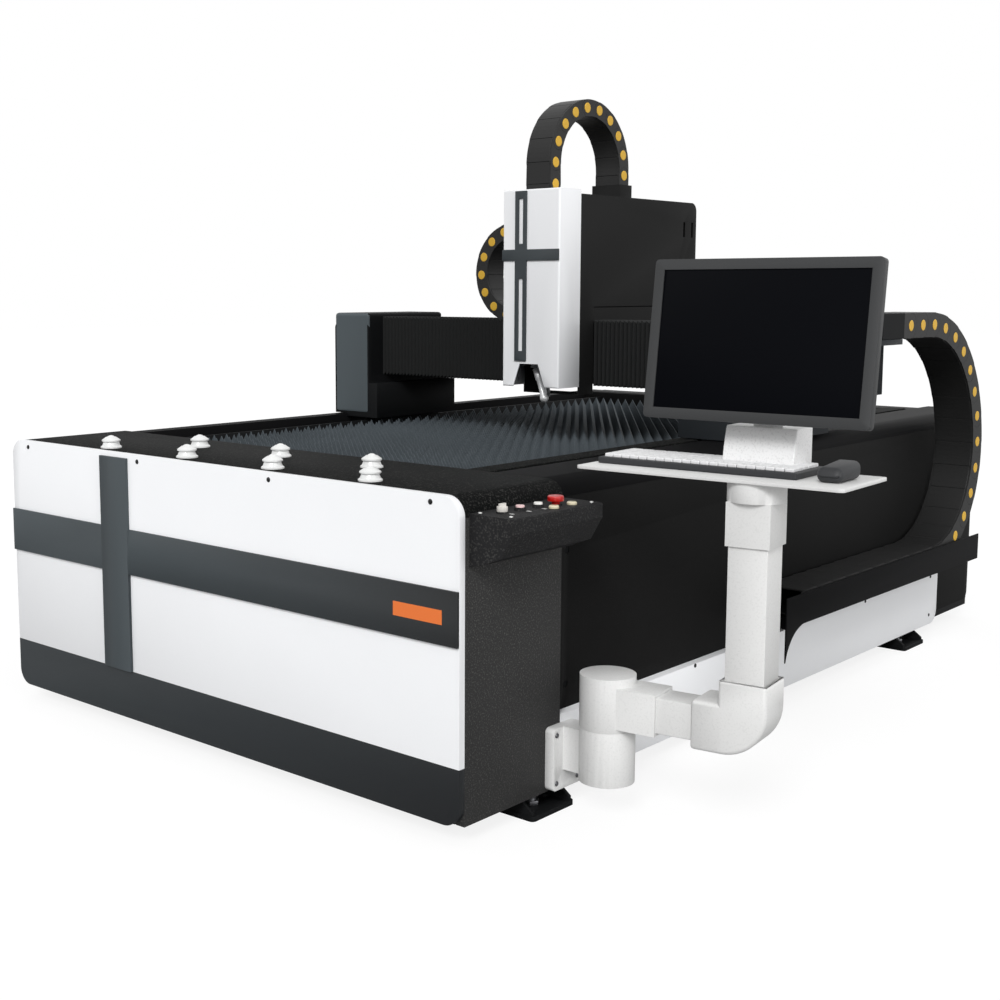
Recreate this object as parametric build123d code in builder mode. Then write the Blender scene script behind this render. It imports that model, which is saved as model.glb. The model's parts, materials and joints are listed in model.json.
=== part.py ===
from build123d import *
import math
import os

os.makedirs("parts", exist_ok=True)

# The part's frame: the origin lies on the floor at the centre of the four anchor holes, the
# loading deck faces -Y, the operator's arm is on +X and +Z is up. All sizes are millimetres.

# Bed
body_width = 1500.0
body_length = 2532.0
foot_height = 41.0
deck_height = 673.0
skin_recess = 22.0
skin_sheet = 2.0
cover_sheet = 3.0
edge_radius = 40.0
panel_depth = 16.0
panel_gap = 3.0
seat_gap = 0.3
well_depth = 132.0
bed_cross_tube = 80.0
cross_tube_shares = (0.2, 0.5, 0.8)

# Floor anchors and feet
anchor_inset_x = 35.0
anchor_spacing_y = 1765.0
anchor_setback = 318.5
anchor_bore = 18.0
foot_width = 106.0
foot_length = 139.0
foot_corner = 10.0
foot_plate = 10.0
anchor_offset = 45.0
jack_offset = 8.0
jack_diameter = 20.0
jack_clearance = 0.3
jack_head = 30.0
jack_nut_height = 9.0
jack_head_height = 9.0
gusset_thickness = 8.0
gusset_spacing = 124.0
gusset_toe = 7.0

# Front
kick_height = 116.0
band_height = 106.0
band_bottom = 391.0
band_thickness = 6.0
strip_left = -364.0
strip_right = -262.0
strip_top_gap = 10.0
strip_thickness = 8.0

# Sides and rear
corner_length = 297.0
lower_panel_height = 151.0
lower_panel_rear_gap = 299.0
skin_bottom = 61.0
skin_corner = 25.0
port_diameter = 16.0
port_setback = 47.0
upper_port_height = 522.0
lower_port_height = 242.0
rear_bar_drop = 7.0

# Pit, slats and covers
deck_length = 318.0
pit_wall_left = 125.0
pit_wall_right = 255.0
pit_rear_margin = 130.0
channel_width = 70.0
upstand_thickness = 5.0
upstand_drop = 23.0
left_cover_drop = 8.0
ledge_width = 60.0
slot_width = 20.0
slat_pitch = 88.0
slat_thickness = 3.0
slat_height = 110.0
slat_tip_drop = 20.0
slat_end_gap = 1.0
tooth_pitch = 44.0
tooth_height = 26.0
rack_thickness = 12.0
rack_drop = 42.0
rack_height = 100.0
rack_clearance = 0.5
tray_margin = 95.0
tray_height = 340.0
tray_taper = 9.0
tray_sheet = 3.0

# Longitudinal rails
rail_width = 34.0
rail_height = 32.0
rail_end_gap = 20.0
left_rail_inset = 85.0
right_rail_inset = 103.0
block_width = 64.0
block_length = 100.0
block_lift = 9.0
block_height = 46.0
block_clearance = 0.3

# Ball casters on the deck
caster_pitch = 290.0
caster_centre = 35.0
caster_front_row = 53.0
caster_rear_row = 205.0
caster_flange_diameter = 50.0
caster_flange_height = 3.0
caster_base_diameter = 42.0
caster_top_diameter = 34.0
caster_cup_height = 26.0
caster_height = 30.0
caster_ball_diameter = 26.0
ball_clearance = 0.3

# Control console
console_setback = 28.0
console_length = 277.0
console_drop = 33.0
console_reach = 103.0
console_lip = 29.0
console_knee_reach = 76.0
console_knee_drop = 75.0
console_heel_reach = 27.0
console_heel_drop = 94.0
console_height = 101.0
console_sheet = 2.5
key_place = (41.0, 45.0)
start_place = (44.0, 94.0)
reset_place = (47.0, 145.0)
stop_place = (57.0, 187.0)
front_lamp_place = (77.0, 155.0)
rear_lamp_place = (74.0, 216.0)
bezel_diameter = 23.0
bezel_height = 6.0
plunger_diameter = 17.0
plunger_height = 10.0
plunger_depth = 8.0
plunger_clearance = 0.3
button_chamfer = 1.0
key_diameter = 20.6
key_height = 18.0
key_bezel_height = 3.0
key_stem_diameter = 12.0
key_grip_thickness = 5.0
key_grip_width = 16.5
stop_diameter = 32.0
stop_height = 19.0
stop_cap_height = 10.0
stop_stem_diameter = 16.0
stop_rounding = 3.0
stop_collar_diameter = 25.0
stop_collar_height = 2.5
lamp_diameter = 20.0
lamp_height = 6.0

# Chain trough on the right side
trough_width = 134.0
trough_chain_gap = 4.0
trough_wall_height = 71.0
trough_sheet = 4.0
trough_front = 1055.0
trough_rear = 2250.0
trough_foot_drop = 87.0
trough_toe_radius = 104.0

# Gantry
gantry_setback = 1140.0
beam_half_length = 604.0
beam_setback = 143.0
beam_depth = 257.0
beam_bottom = 789.0
beam_height = 156.0
beam_wall = 8.0
leg_clearance = 3.0
slat_clearance = 6.0
leg_depth = 360.0
leg_top = 765.0
left_leg_reach = 181.0
right_leg_reach = 250.0
hood_depth = 210.0
hood_top = 946.0
hood_step = 15.0
hood_radius = 14.0
right_hood_depth = 680.0
right_hood_inset = 16.0
right_hood_top = 941.0
web_thickness = 14.0
web_setback = 20.0
foot_block_length = 320.0
foot_flange = 20.0
guide_rail = 20.0
guide_rail_lower = 831.0
guide_rail_upper = 926.0
chain_tray_height = 5.0
chain_tray_lip = 12.0
chain_tray_left = -700.0
chain_tray_right = 100.0
chain_tray_width = 92.0
bellows_depth = 80.0
bellows_bottom = 789.0
bellows_height = 179.0
bellows_pleat = 30.0
bellows_fold = 8.0
bellows_wall = 14.0
bellows_gap = 0.5

# Carriage and head
carriage_left = 4.0
carriage_width = 186.0
carriage_cover_sheet = 3.0
carriage_cover_top = 1301.0
carriage_cover_depth = 573.0
carriage_cover_setback = -6.0
carriage_cover_bottom = 768.0
carriage_front_wall = 66.0
carriage_arch_depth = 362.0
carriage_arch_top = 1001.0
carriage_rear_bottom = 891.0
carriage_corner = 25.0
vent_height = 43.0
vent_width = 10.0
vent_bottom = 1201.0
vent_spacing = 43.0
vent_inset = 22.0
carriage_plate_setback = 66.0
carriage_plate_thickness = 30.0
carriage_plate_margin = 10.0
carriage_plate_bottom = 793.0
carriage_plate_top = 1281.0
carriage_block_length = 60.0
carriage_block_width = 48.0
carriage_block_spacing = 90.0
lift_rail_width = 15.0
lift_rail_depth = 20.0
lift_rail_spacing = 104.0
lift_block_width = 34.0
head_cover_front = 100.0
head_cover_depth = 94.0
head_cover_width = 188.0
head_cover_bottom = 790.0
head_cover_top = 1312.0
head_cover_sheet = 3.0
head_cover_edge = 5.0
notch_top_width = 62.0
notch_bottom_width = 107.0
notch_height = 62.0
notch_offset = -3.0
trim_thickness = 4.0
trim_width = 39.0
trim_left = 47.0
trim_bottom = 859.0
trim_top = 1308.0
trim_bar_bottom = 1125.0
trim_bar_height = 30.0
trim_slot_width = 14.0
lower_slot_bottom = 886.0
lower_slot_height = 192.0
upper_slot_bottom = 1170.0
upper_slot_height = 118.0
head_plate_setback = 10.0
head_plate_thickness = 20.0
head_plate_bottom = 941.0
head_plate_height = 320.0
head_body_diameter = 56.0
head_body_bottom = 840.0
head_body_top = 1200.0
head_axis_inset = 53.0
head_axis_offset = 91.0
nozzle_tip = 749.0
nozzle_tip_diameter = 6.0
nozzle_diameter = 22.0
nozzle_height = 14.0
arm_drop_reach = 15.0
arm_drop_width = 16.0

# Energy chains: link pitch, width and height, then the run each one lies in
long_link_pitch = 78.0
long_link_width = 117.0
long_link_height = 68.0
long_link_count = 27
long_chain_gap = 10.0
long_chain_rise = 13.0
long_chain_start = 1585.0
long_upper_centre = 1858.0
long_upper_radius = 368.0
long_lower_radius = 295.0
small_link_pitch = 56.0
small_link_width = 83.0
small_link_height = 45.0
small_link_wall = 3.0
long_link_wall = 4.0
link_gap = 0.6
link_taper = 6.0
tongue_length = 16.0
tongue_share = 0.4
cross_link_count = 18
cross_chain_radius = 130.0
cross_chain_centre = -281.0
cross_chain_floor_gap = 0.3
head_link_count = 12
head_chain_radius = 158.0
head_chain_left = 63.0
head_chain_leg_top = 1378.0
head_chain_front_inset = 44.0
head_socket_height = 38.0
head_socket_wall = 6.0

# Operator's arm
arm_axis_reach = 106.0
arm_axis_setback = 328.0
arm_post_diameter = 112.0
arm_post_bottom = 78.0
arm_post_height = 110.0
arm_shoulder_height = 107.7
arm_pin_diameter = 40.0
arm_pin_height = 80.0
arm_pin_clearance = 0.05
arm_plate_thickness = 20.0
arm_plate_width = 95.0
arm_plate_bottom = 46.0
arm_plate_height = 130.0
arm_plate_setback = 265.0
arm_rib_width = 60.0
arm_rib_bottom = 86.0
arm_rib_height = 90.0
arm_bolt_diameter = 12.0
arm_bolt_spacing_y = 70.0
arm_bolt_spacing_z = 100.0
arm_yaw = 8.0
arm_length = 296.0
arm_centre_height = 238.0
socket_size = 82.0
socket_reach = 120.0
socket_wall = 5.8
tube_size = 70.0
tube_wall = 4.0
tube_start = 62.0
elbow_size = 96.0
elbow_leg_top = 331.0
elbow_leg_length = 100.0
elbow_radius = 90.0
elbow_depth = 20.0
column_size = 76.0
column_wall = 4.0
sleeve_size = 85.0
sleeve_bottom = 584.0
sleeve_height = 82.0
boss_diameter = 108.0
boss_height = 37.0
tray_pin_diameter = 30.0
tray_pin_height = 30.0

# Tray, keyboard, mouse and monitor
tray_yaw = 3.3
tray_board_thickness = 6.0
tray_board_left = -356.0
tray_board_right = 187.0
tray_board_near = -58.0
tray_board_far = 149.0
tray_board_corner = 10.0
keyboard_left = -341.0
keyboard_length = 416.0
keyboard_depth = 130.0
keyboard_height = 14.0
keyboard_rows = 5
key_row_pitch = 22.5
key_row_depth = 19.0
key_row_height = 6.0
key_row_margin = 9.0
mouse_centre = (134.0, 48.0)
mouse_width = 50.0
mouse_length = 104.0
mouse_front_height = 20.0
mouse_rear_height = 34.0
mouse_radius = 9.0
mouse_hump = 21.0
pedestal_left = -102.0
pedestal_width = 142.0
pedestal_near = 63.0
pedestal_depth = 81.0
pedestal_foot_height = 22.0
pedestal_foot_inset = 8.0
pedestal_foot_near = 132.0
pedestal_foot_depth = 14.0
pedestal_height = 56.0
pedestal_flare = 12.0
neck_width = 60.0
neck_thickness = 14.0
neck_near = 92.0
hinge_height = 197.0
hinge_diameter = 20.0
hinge_pin_diameter = 8.0
hinge_pin_clearance = 0.05
lug_width = 24.0
monitor_width = 450.0
monitor_height = 304.0
monitor_frame_depth = 20.0
monitor_bezel = 20.0
monitor_centre = (-25.0, 35.0, 247.0)
monitor_tilt = 7.7
monitor_corner = 8.0
monitor_cavity_width = 370.0
monitor_cavity_height = 244.0
monitor_back_width = 300.0
monitor_back_height = 190.0
monitor_back_depth = 25.0
screen_recess = 2.0
screen_thickness = 3.0

# Values worked out from the sizes above
half = body_width / 2
anchor_spacing_x = body_width - 2 * anchor_inset_x
side = half - skin_recess
front = -(anchor_setback + anchor_spacing_y / 2)
rear = front + body_length
bed_top = deck_height - well_depth
skin_top = deck_height - edge_radius
pit_left = -half + pit_wall_left
pit_right = half - pit_wall_right
pit_front = front + deck_length
pit_rear = rear - pit_rear_margin
channel_right = pit_left - upstand_thickness
channel_left = channel_right - channel_width
ledge_right = pit_right + ledge_width
cover_left = ledge_right + slot_width
gantry_front = front + gantry_setback
carriage_right = carriage_left + carriage_width
carriage_middle = carriage_left + carriage_width / 2
long_upper_run = right_hood_top + long_chain_rise
long_lower_run = long_upper_run - long_upper_radius - long_lower_radius
trough_floor_height = long_lower_run - long_link_height / 2 - trough_chain_gap


def block(x, y, z, mode=Mode.ADD):
    """A box between its two limits on each axis."""
    with Locations(((x[0] + x[1]) / 2, (y[0] + y[1]) / 2, (z[0] + z[1]) / 2)):
        Box(x[1] - x[0], y[1] - y[0], z[1] - z[0], mode=mode)


def facing_y(y):
    """The upright plane at this y whose own x and y run along +X and +Z."""
    return Plane(origin=(0, y, 0), x_dir=(1, 0, 0), z_dir=(0, -1, 0))


def facing_x(x):
    """The upright plane at this x whose own x and y run along +Y and +Z."""
    return Plane(origin=(x, 0, 0), x_dir=(0, 1, 0), z_dir=(1, 0, 0))


def save(piece, name):
    piece.part.label = name
    export_step(piece.part, "parts/" + name + ".step")


# Feet: a bolted-down plate with an inner wall and two gussets under each corner of the bed
foot_centres = [
    (sx * anchor_spacing_x / 2, sy * anchor_spacing_y / 2 - anchor_offset)
    for sx in (-1, 1)
    for sy in (-1, 1)
]
foot_inner = anchor_spacing_x / 2 - foot_width / 2
foot_outer = anchor_spacing_x / 2 + foot_width / 2
with BuildPart() as feet:
    with BuildSketch():
        with Locations(*foot_centres):
            RectangleRounded(foot_width, foot_length, foot_corner)
        with Locations(*[(x, y + anchor_offset) for x, y in foot_centres]):
            Circle(anchor_bore / 2, mode=Mode.SUBTRACT)
        with Locations(*[(x, y - jack_offset) for x, y in foot_centres]):
            Circle(jack_diameter / 2 + jack_clearance, mode=Mode.SUBTRACT)
    extrude(amount=foot_plate)
    for x, y in foot_centres:
        for end in (-1, 1):
            y_rib = y + end * gusset_spacing / 2
            toe = math.copysign(foot_outer - gusset_toe, x)
            heel = math.copysign(foot_inner, x)
            shoulder = math.copysign(side, x)
            with BuildSketch(facing_y(y_rib)):
                with BuildLine():
                    Polyline(
                        (heel, foot_plate),
                        (toe, foot_plate),
                        (toe, foot_plate + gusset_toe),
                        (shoulder, foot_height),
                        (heel, foot_height),
                        close=True,
                    )
                make_face()
            extrude(amount=gusset_thickness / 2, both=True)
        wall = sorted((heel, heel + math.copysign(gusset_thickness, x)))
        block(wall, (y - gusset_spacing / 2, y + gusset_spacing / 2), (foot_plate, foot_height))
save(feet, "feet")

with BuildPart() as levelling_bolts:
    with BuildSketch():
        with Locations(*[(x, y - jack_offset) for x, y in foot_centres]):
            Circle(jack_diameter / 2)
    extrude(amount=foot_height - panel_gap)
    for bottom, height in (
        (foot_plate, jack_nut_height),
        (foot_height - panel_gap - jack_head_height, jack_head_height),
    ):
        with BuildSketch(Plane.XY.offset(bottom)):
            with Locations(*[(x, y - jack_offset) for x, y in foot_centres]):
                RegularPolygon(jack_head / 2, 6, major_radius=False)
        extrude(amount=height)
save(levelling_bolts, "levelling_bolts")

# Bed: closed box walls round the pit, cross tubes under the scrap tray, channel wall on the left
with BuildPart() as bed_frame:
    with BuildSketch(Plane.XY.offset(foot_height)):
        with BuildLine():
            Polyline(
                (skin_sheet - side, front + panel_depth),
                (side - skin_sheet, front + panel_depth),
                (side - skin_sheet, rear - skin_sheet),
                (skin_sheet - side, rear - skin_sheet),
                close=True,
            )
        make_face()
        with Locations(((pit_left + pit_right) / 2, (pit_front + pit_rear) / 2)):
            Rectangle(pit_right - pit_left, pit_rear - pit_front, mode=Mode.SUBTRACT)
    extrude(amount=bed_top - foot_height)
    block((channel_right, pit_left), (pit_front, pit_rear), (bed_top, deck_height - upstand_drop))
    for share in cross_tube_shares:
        y_tube = pit_front + share * (pit_rear - pit_front)
        block(
            (pit_left, pit_right),
            (y_tube - bed_cross_tube / 2, y_tube + bed_cross_tube / 2),
            (foot_height, foot_height + bed_cross_tube),
        )
save(bed_frame, "bed_frame")

# Front: a folded white panel above a dark kick panel, crossed by raised trim
panel_bottom = foot_height + kick_height
with BuildPart() as front_panel:
    with BuildSketch(facing_y(front + panel_depth)) as outline:
        with Locations((0, (panel_bottom + deck_height) / 2)):
            Rectangle(body_width, deck_height - panel_bottom)
        fillet(outline.vertices().group_by(Axis.Y)[-1], edge_radius)
    extrude(amount=panel_depth)
    offset(amount=-skin_sheet, openings=front_panel.faces().sort_by(Axis.Y)[-1])
save(front_panel, "front_panel")

with BuildPart() as kick_panel:
    with BuildSketch(facing_y(front + panel_depth)) as outline:
        with Locations((0, foot_height + kick_height / 2)):
            Rectangle(body_width, kick_height)
        fillet(outline.vertices().group_by(Axis.Y)[0], edge_radius)
    extrude(amount=panel_depth)
    offset(amount=-skin_sheet, openings=kick_panel.faces().sort_by(Axis.Y)[-1])
save(kick_panel, "kick_panel")

with BuildPart() as front_trim:
    block(
        (strip_left, strip_right),
        (front - strip_thickness, front),
        (panel_bottom, deck_height - strip_top_gap),
    )
    for x in ((-half, strip_left), (strip_right, half)):
        block(x, (front - band_thickness, front), (band_bottom, band_bottom + band_height))
save(front_trim, "front_trim")

# Corner skins, side skins and lower side panels, the same on both sides
with BuildPart() as corner_skins:
    block(
        (side, half),
        (front + panel_depth, front + panel_depth + corner_length),
        (foot_height, skin_top),
    )
    offset(amount=-skin_sheet, openings=corner_skins.faces().sort_by(Axis.X)[0])
    mirror(about=Plane.YZ)
save(corner_skins, "corner_skins")

skin_front = front + panel_depth + corner_length
with BuildPart() as side_skins:
    with BuildSketch(facing_x(side - skin_sheet)) as outline:
        with Locations(((skin_front + rear) / 2, (skin_bottom + skin_top) / 2)):
            Rectangle(rear - skin_front, skin_top - skin_bottom)
        fillet(outline.vertices().group_by(Axis.Y)[0].sort_by(Axis.X)[-1], skin_corner)
        port_y = skin_front + port_setback
        with Locations((port_y, upper_port_height), (port_y, lower_port_height)):
            Circle(port_diameter / 2, mode=Mode.SUBTRACT)
    extrude(amount=skin_sheet)
    mirror(about=Plane.YZ)
save(side_skins, "side_skins")

lower_front = skin_front + panel_gap
lower_rear = rear - lower_panel_rear_gap
with BuildPart() as lower_panels:
    with BuildSketch(facing_x(side)) as outline:
        with Locations(((lower_front + lower_rear) / 2, foot_height + lower_panel_height / 2)):
            Rectangle(lower_rear - lower_front, lower_panel_height)
        fillet(outline.vertices().group_by(Axis.Y)[0].sort_by(Axis.X)[-1], edge_radius)
    extrude(amount=skin_recess)
    offset(amount=-skin_sheet, openings=lower_panels.faces().sort_by(Axis.X)[0])
    mirror(about=Plane.YZ)
save(lower_panels, "lower_panels")

# Rear panel with the bar that closes the pit and both rail wells
with BuildPart() as rear_panel:
    block((skin_sheet - side, side - skin_sheet), (rear - skin_sheet, rear), (skin_bottom, skin_top))
    with BuildSketch(facing_x(channel_left)):
        with BuildLine():
            Polyline(
                (pit_rear, bed_top),
                (pit_rear, deck_height - rear_bar_drop),
                (rear, deck_height - rear_bar_drop),
                (rear, skin_bottom),
            )
            offset(amount=skin_sheet, side=Side.RIGHT)
        make_face()
    extrude(amount=cover_left - channel_left)
save(rear_panel, "rear_panel")

# Loading deck: a sheet with rounded outer edges and a flange down the front of the pit
with BuildPart() as front_deck:
    with BuildSketch(facing_y(front + deck_length)) as outline:
        with Locations((0, (deck_height + skin_top) / 2)):
            Rectangle(body_width, edge_radius)
        fillet(outline.vertices().group_by(Axis.Y)[-1], edge_radius - seat_gap)
    extrude(amount=deck_length - panel_depth)
    block(
        (-half + edge_radius, half - edge_radius),
        (front + panel_depth, pit_front - cover_sheet),
        (skin_top, deck_height - cover_sheet),
        mode=Mode.SUBTRACT,
    )
    block((skin_sheet - side, cover_left), (pit_front - cover_sheet, pit_front), (bed_top, skin_top))
save(front_deck, "front_deck")

with BuildPart() as pit_ledge:
    with BuildSketch(facing_y(pit_front)):
        with BuildLine():
            Polyline(
                (pit_right, bed_top),
                (pit_right, deck_height),
                (ledge_right, deck_height),
                (ledge_right, bed_top),
            )
            offset(amount=cover_sheet, side=Side.RIGHT)
        make_face()
    extrude(amount=-(pit_rear - pit_front))
save(pit_ledge, "pit_ledge")

with BuildPart() as right_rail_cover:
    with BuildSketch(facing_y(pit_front)) as outline:
        with Locations(((cover_left + side) / 2, (skin_top + deck_height) / 2)):
            Rectangle(side - cover_left, edge_radius)
        fillet(outline.vertices().group_by(Axis.Y)[-1].sort_by(Axis.X)[-1], edge_radius - seat_gap)
    extrude(amount=-(rear - pit_front))
    block(
        (cover_left + cover_sheet, side - edge_radius),
        (pit_front, rear - cover_sheet),
        (skin_top, deck_height - cover_sheet),
        mode=Mode.SUBTRACT,
    )
save(right_rail_cover, "right_rail_cover")

with BuildPart() as left_rail_cover:
    with BuildSketch(facing_y(pit_front)):
        with BuildLine():
            Polyline(
                (channel_left, bed_top),
                (channel_left, deck_height - left_cover_drop),
                (-half, deck_height - left_cover_drop),
                (-half, skin_top),
                (-side, skin_top),
            )
            offset(amount=skin_sheet, side=Side.LEFT)
        make_face()
    extrude(amount=-(rear - skin_sheet - pit_front))
save(left_rail_cover, "left_rail_cover")

# Slats: toothed sheets that stand in two slotted racks across the pit
slat_top = deck_height - slat_tip_drop
slat_length = pit_right - pit_left - 2 * slat_end_gap
slat_count = int((pit_rear - pit_front - slat_pitch) / slat_pitch) + 1
first_slat = (pit_front + pit_rear - (slat_count - 1) * slat_pitch) / 2
slat_rows = [first_slat + i * slat_pitch for i in range(slat_count)]
tooth_count = int(slat_length / tooth_pitch)
tooth_start = pit_left + slat_end_gap + (slat_length - tooth_count * tooth_pitch) / 2
slat_start = pit_left + slat_end_gap
teeth = [(slat_start, slat_top - slat_height), (slat_start, slat_top - tooth_height)]
for i in range(tooth_count):
    teeth.append((tooth_start + i * tooth_pitch, slat_top - tooth_height))
    teeth.append((tooth_start + (i + 0.5) * tooth_pitch, slat_top))
teeth.append((tooth_start + tooth_count * tooth_pitch, slat_top - tooth_height))
teeth.append((pit_right - slat_end_gap, slat_top - tooth_height))
teeth.append((pit_right - slat_end_gap, slat_top - slat_height))
with BuildPart() as slat:
    with BuildSketch(facing_y(0)):
        with BuildLine():
            Polyline(*teeth, close=True)
        make_face()
    extrude(amount=slat_thickness / 2, both=True)
with BuildPart() as slats:
    with Locations(*[(0, y, 0) for y in slat_rows]):
        add(slat.part)
save(slats, "slats")

with BuildPart() as slat_racks:
    for x in ((pit_left, pit_left + rack_thickness), (pit_right - rack_thickness, pit_right)):
        block(x, (pit_front, pit_rear), (slat_top - rack_drop - rack_height, slat_top - rack_drop))
    slot_floor = slat_top - slat_height
    with Locations(*[((pit_left + pit_right) / 2, y, slot_floor) for y in slat_rows]):
        Box(
            pit_right - pit_left,
            slat_thickness + rack_clearance,
            rack_height,
            align=(Align.CENTER, Align.CENTER, Align.MIN),
            mode=Mode.SUBTRACT,
        )
save(slat_racks, "slat_racks")

with BuildPart() as scrap_tray:
    with BuildSketch(Plane.XY.offset(foot_height + bed_cross_tube)):
        with Locations(((pit_left + pit_right) / 2, (pit_front + pit_rear) / 2)):
            Rectangle(pit_right - pit_left - 2 * tray_margin, pit_rear - pit_front - 2 * tray_margin)
    extrude(amount=tray_height, taper=-tray_taper)
    offset(amount=-tray_sheet, openings=scrap_tray.faces().sort_by(Axis.Z)[-1])
save(scrap_tray, "scrap_tray")

# Longitudinal rails on the bed walls
rail_centres = (-half + left_rail_inset, half - right_rail_inset)
rail_front = pit_front + rail_end_gap
rail_rear = pit_rear - rail_end_gap
with BuildPart() as long_rails:
    for x in rail_centres:
        block(
            (x - rail_width / 2, x + rail_width / 2),
            (rail_front, rail_rear),
            (bed_top, bed_top + rail_height),
        )
save(long_rails, "long_rails")

# Ball casters: seven cups on the deck, each with a free ball
caster_places = [
    (caster_centre + (i - 1.5) * caster_pitch, front + caster_front_row) for i in range(4)
] + [(caster_centre + (i - 1) * caster_pitch, front + caster_rear_row) for i in range(3)]
ball_height = caster_height - caster_ball_diameter / 2
with BuildPart() as cup:
    with BuildSketch(facing_y(0)):
        with BuildLine():
            Polyline(
                (0, 0),
                (caster_flange_diameter / 2, 0),
                (caster_flange_diameter / 2, caster_flange_height),
                (caster_base_diameter / 2, caster_flange_height),
                (caster_top_diameter / 2, caster_cup_height),
                (0, caster_cup_height),
                close=True,
            )
        make_face()
    revolve(axis=Axis.Z)
    with Locations((0, 0, ball_height)):
        Sphere(caster_ball_diameter / 2 + ball_clearance, mode=Mode.SUBTRACT)
with BuildPart() as caster_cups:
    with Locations(*[(x, y, deck_height) for x, y in caster_places]):
        add(cup.part)
save(caster_cups, "caster_cups")

for number, (x, y) in enumerate(caster_places, start=1):
    with BuildPart() as caster_ball:
        with Locations((x, y, deck_height + ball_height)):
            Sphere(caster_ball_diameter / 2)
    save(caster_ball, "caster_ball_" + str(number))

# Control console on the right side, with its switches, buttons and lamps
console_top = deck_height - console_drop
console_front = front + console_setback
switch_places = [
    (half + x, console_front + y) for x, y in (key_place, start_place, reset_place, stop_place)
]
lamp_places = [(half + x, console_front + y) for x, y in (front_lamp_place, rear_lamp_place)]
with BuildPart() as console_housing:
    with BuildSketch(facing_y(console_front)) as outline:
        with BuildLine():
            Polyline(
                (half, console_top),
                (half + console_reach, console_top),
                (half + console_reach, console_top - console_lip),
                (half + console_knee_reach, console_top - console_knee_drop),
                (half + console_heel_reach, console_top - console_heel_drop),
                (half, console_top - console_height),
                close=True,
            )
        make_face()
        fillet(outline.vertices().sort_by(Axis.X)[-2:], console_sheet * 2)
    extrude(amount=-console_length)
    offset(amount=-console_sheet, openings=console_housing.faces().sort_by(Axis.X)[0])
    with Locations(*[(x, y, console_top) for x, y in switch_places[1:3]]):
        Cylinder(bezel_diameter / 2, bezel_height, align=(Align.CENTER, Align.CENTER, Align.MIN))
    with Locations((*switch_places[0], console_top)):
        Cylinder(bezel_diameter / 2, key_bezel_height, align=(Align.CENTER, Align.CENTER, Align.MIN))
    with Locations((*switch_places[3], console_top)):
        Cylinder(
            stop_collar_diameter / 2, stop_collar_height, align=(Align.CENTER, Align.CENTER, Align.MIN)
        )
    shafts = (key_stem_diameter, plunger_diameter, plunger_diameter, stop_stem_diameter)
    for (x, y), diameter in zip(switch_places, shafts):
        with Locations((x, y, console_top)):
            Cylinder(diameter / 2 + plunger_clearance, 4 * bezel_height, mode=Mode.SUBTRACT)
save(console_housing, "console_housing")

with BuildPart() as key_switch:
    with Locations((*switch_places[0], console_top - plunger_depth)):
        Cylinder(
            key_stem_diameter / 2,
            plunger_depth + key_bezel_height + seat_gap,
            align=(Align.CENTER, Align.CENTER, Align.MIN),
        )
    with Locations((*switch_places[0], console_top + key_bezel_height + seat_gap)):
        Cylinder(key_diameter / 2, key_height / 2, align=(Align.CENTER, Align.CENTER, Align.MIN))
        Box(
            key_grip_thickness,
            key_grip_width,
            key_height - key_bezel_height,
            align=(Align.CENTER, Align.CENTER, Align.MIN),
        )
save(key_switch, "key_switch")

for (x, y), name in zip(switch_places[1:3], ("start_button", "reset_button")):
    with BuildPart() as button:
        with Locations((x, y, console_top - plunger_depth)):
            Cylinder(
                plunger_diameter / 2,
                plunger_depth + plunger_height,
                align=(Align.CENTER, Align.CENTER, Align.MIN),
            )
        chamfer(button.faces().sort_by(Axis.Z)[-1].edges(), button_chamfer)
    save(button, name)

with BuildPart() as emergency_stop:
    with Locations((*switch_places[3], console_top - plunger_depth)):
        Cylinder(
            stop_stem_diameter / 2,
            plunger_depth + stop_height,
            align=(Align.CENTER, Align.CENTER, Align.MIN),
        )
    with Locations((*switch_places[3], console_top + stop_height - stop_cap_height)):
        Cylinder(stop_diameter / 2, stop_cap_height, align=(Align.CENTER, Align.CENTER, Align.MIN))
    fillet(emergency_stop.faces().sort_by(Axis.Z)[-1].edges(), stop_rounding)
save(emergency_stop, "emergency_stop")

with BuildPart() as pilot_lamps:
    with Locations(*[(x, y, console_top) for x, y in lamp_places]):
        Cylinder(lamp_diameter / 2, lamp_height, align=(Align.CENTER, Align.CENTER, Align.MIN))
    chamfer(pilot_lamps.faces().group_by(Axis.Z)[-1].edges(), lamp_height / 3)
save(pilot_lamps, "pilot_lamps")

# Trough along the right side in which the long chain lies
with BuildPart() as chain_trough:
    wall_top = trough_floor_height + trough_wall_height
    toe_height = trough_floor_height - trough_foot_drop
    with BuildSketch(facing_x(side + trough_width - trough_sheet)):
        with BuildLine():
            Polyline(
                (front + trough_front, toe_height),
                (front + trough_front, wall_top),
                (front + trough_rear, wall_top),
                (front + trough_rear, trough_floor_height - trough_sheet),
                (front + trough_front + trough_foot_drop, trough_floor_height - trough_sheet),
            )
            RadiusArc(
                (front + trough_front + trough_foot_drop, trough_floor_height - trough_sheet),
                (front + trough_front, toe_height),
                -trough_toe_radius,
            )
        make_face()
    extrude(amount=trough_sheet)
    block(
        (side, side + trough_width - trough_sheet),
        (front + trough_front, front + trough_rear),
        (trough_floor_height - trough_sheet, trough_floor_height),
    )
save(chain_trough, "chain_trough")

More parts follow.
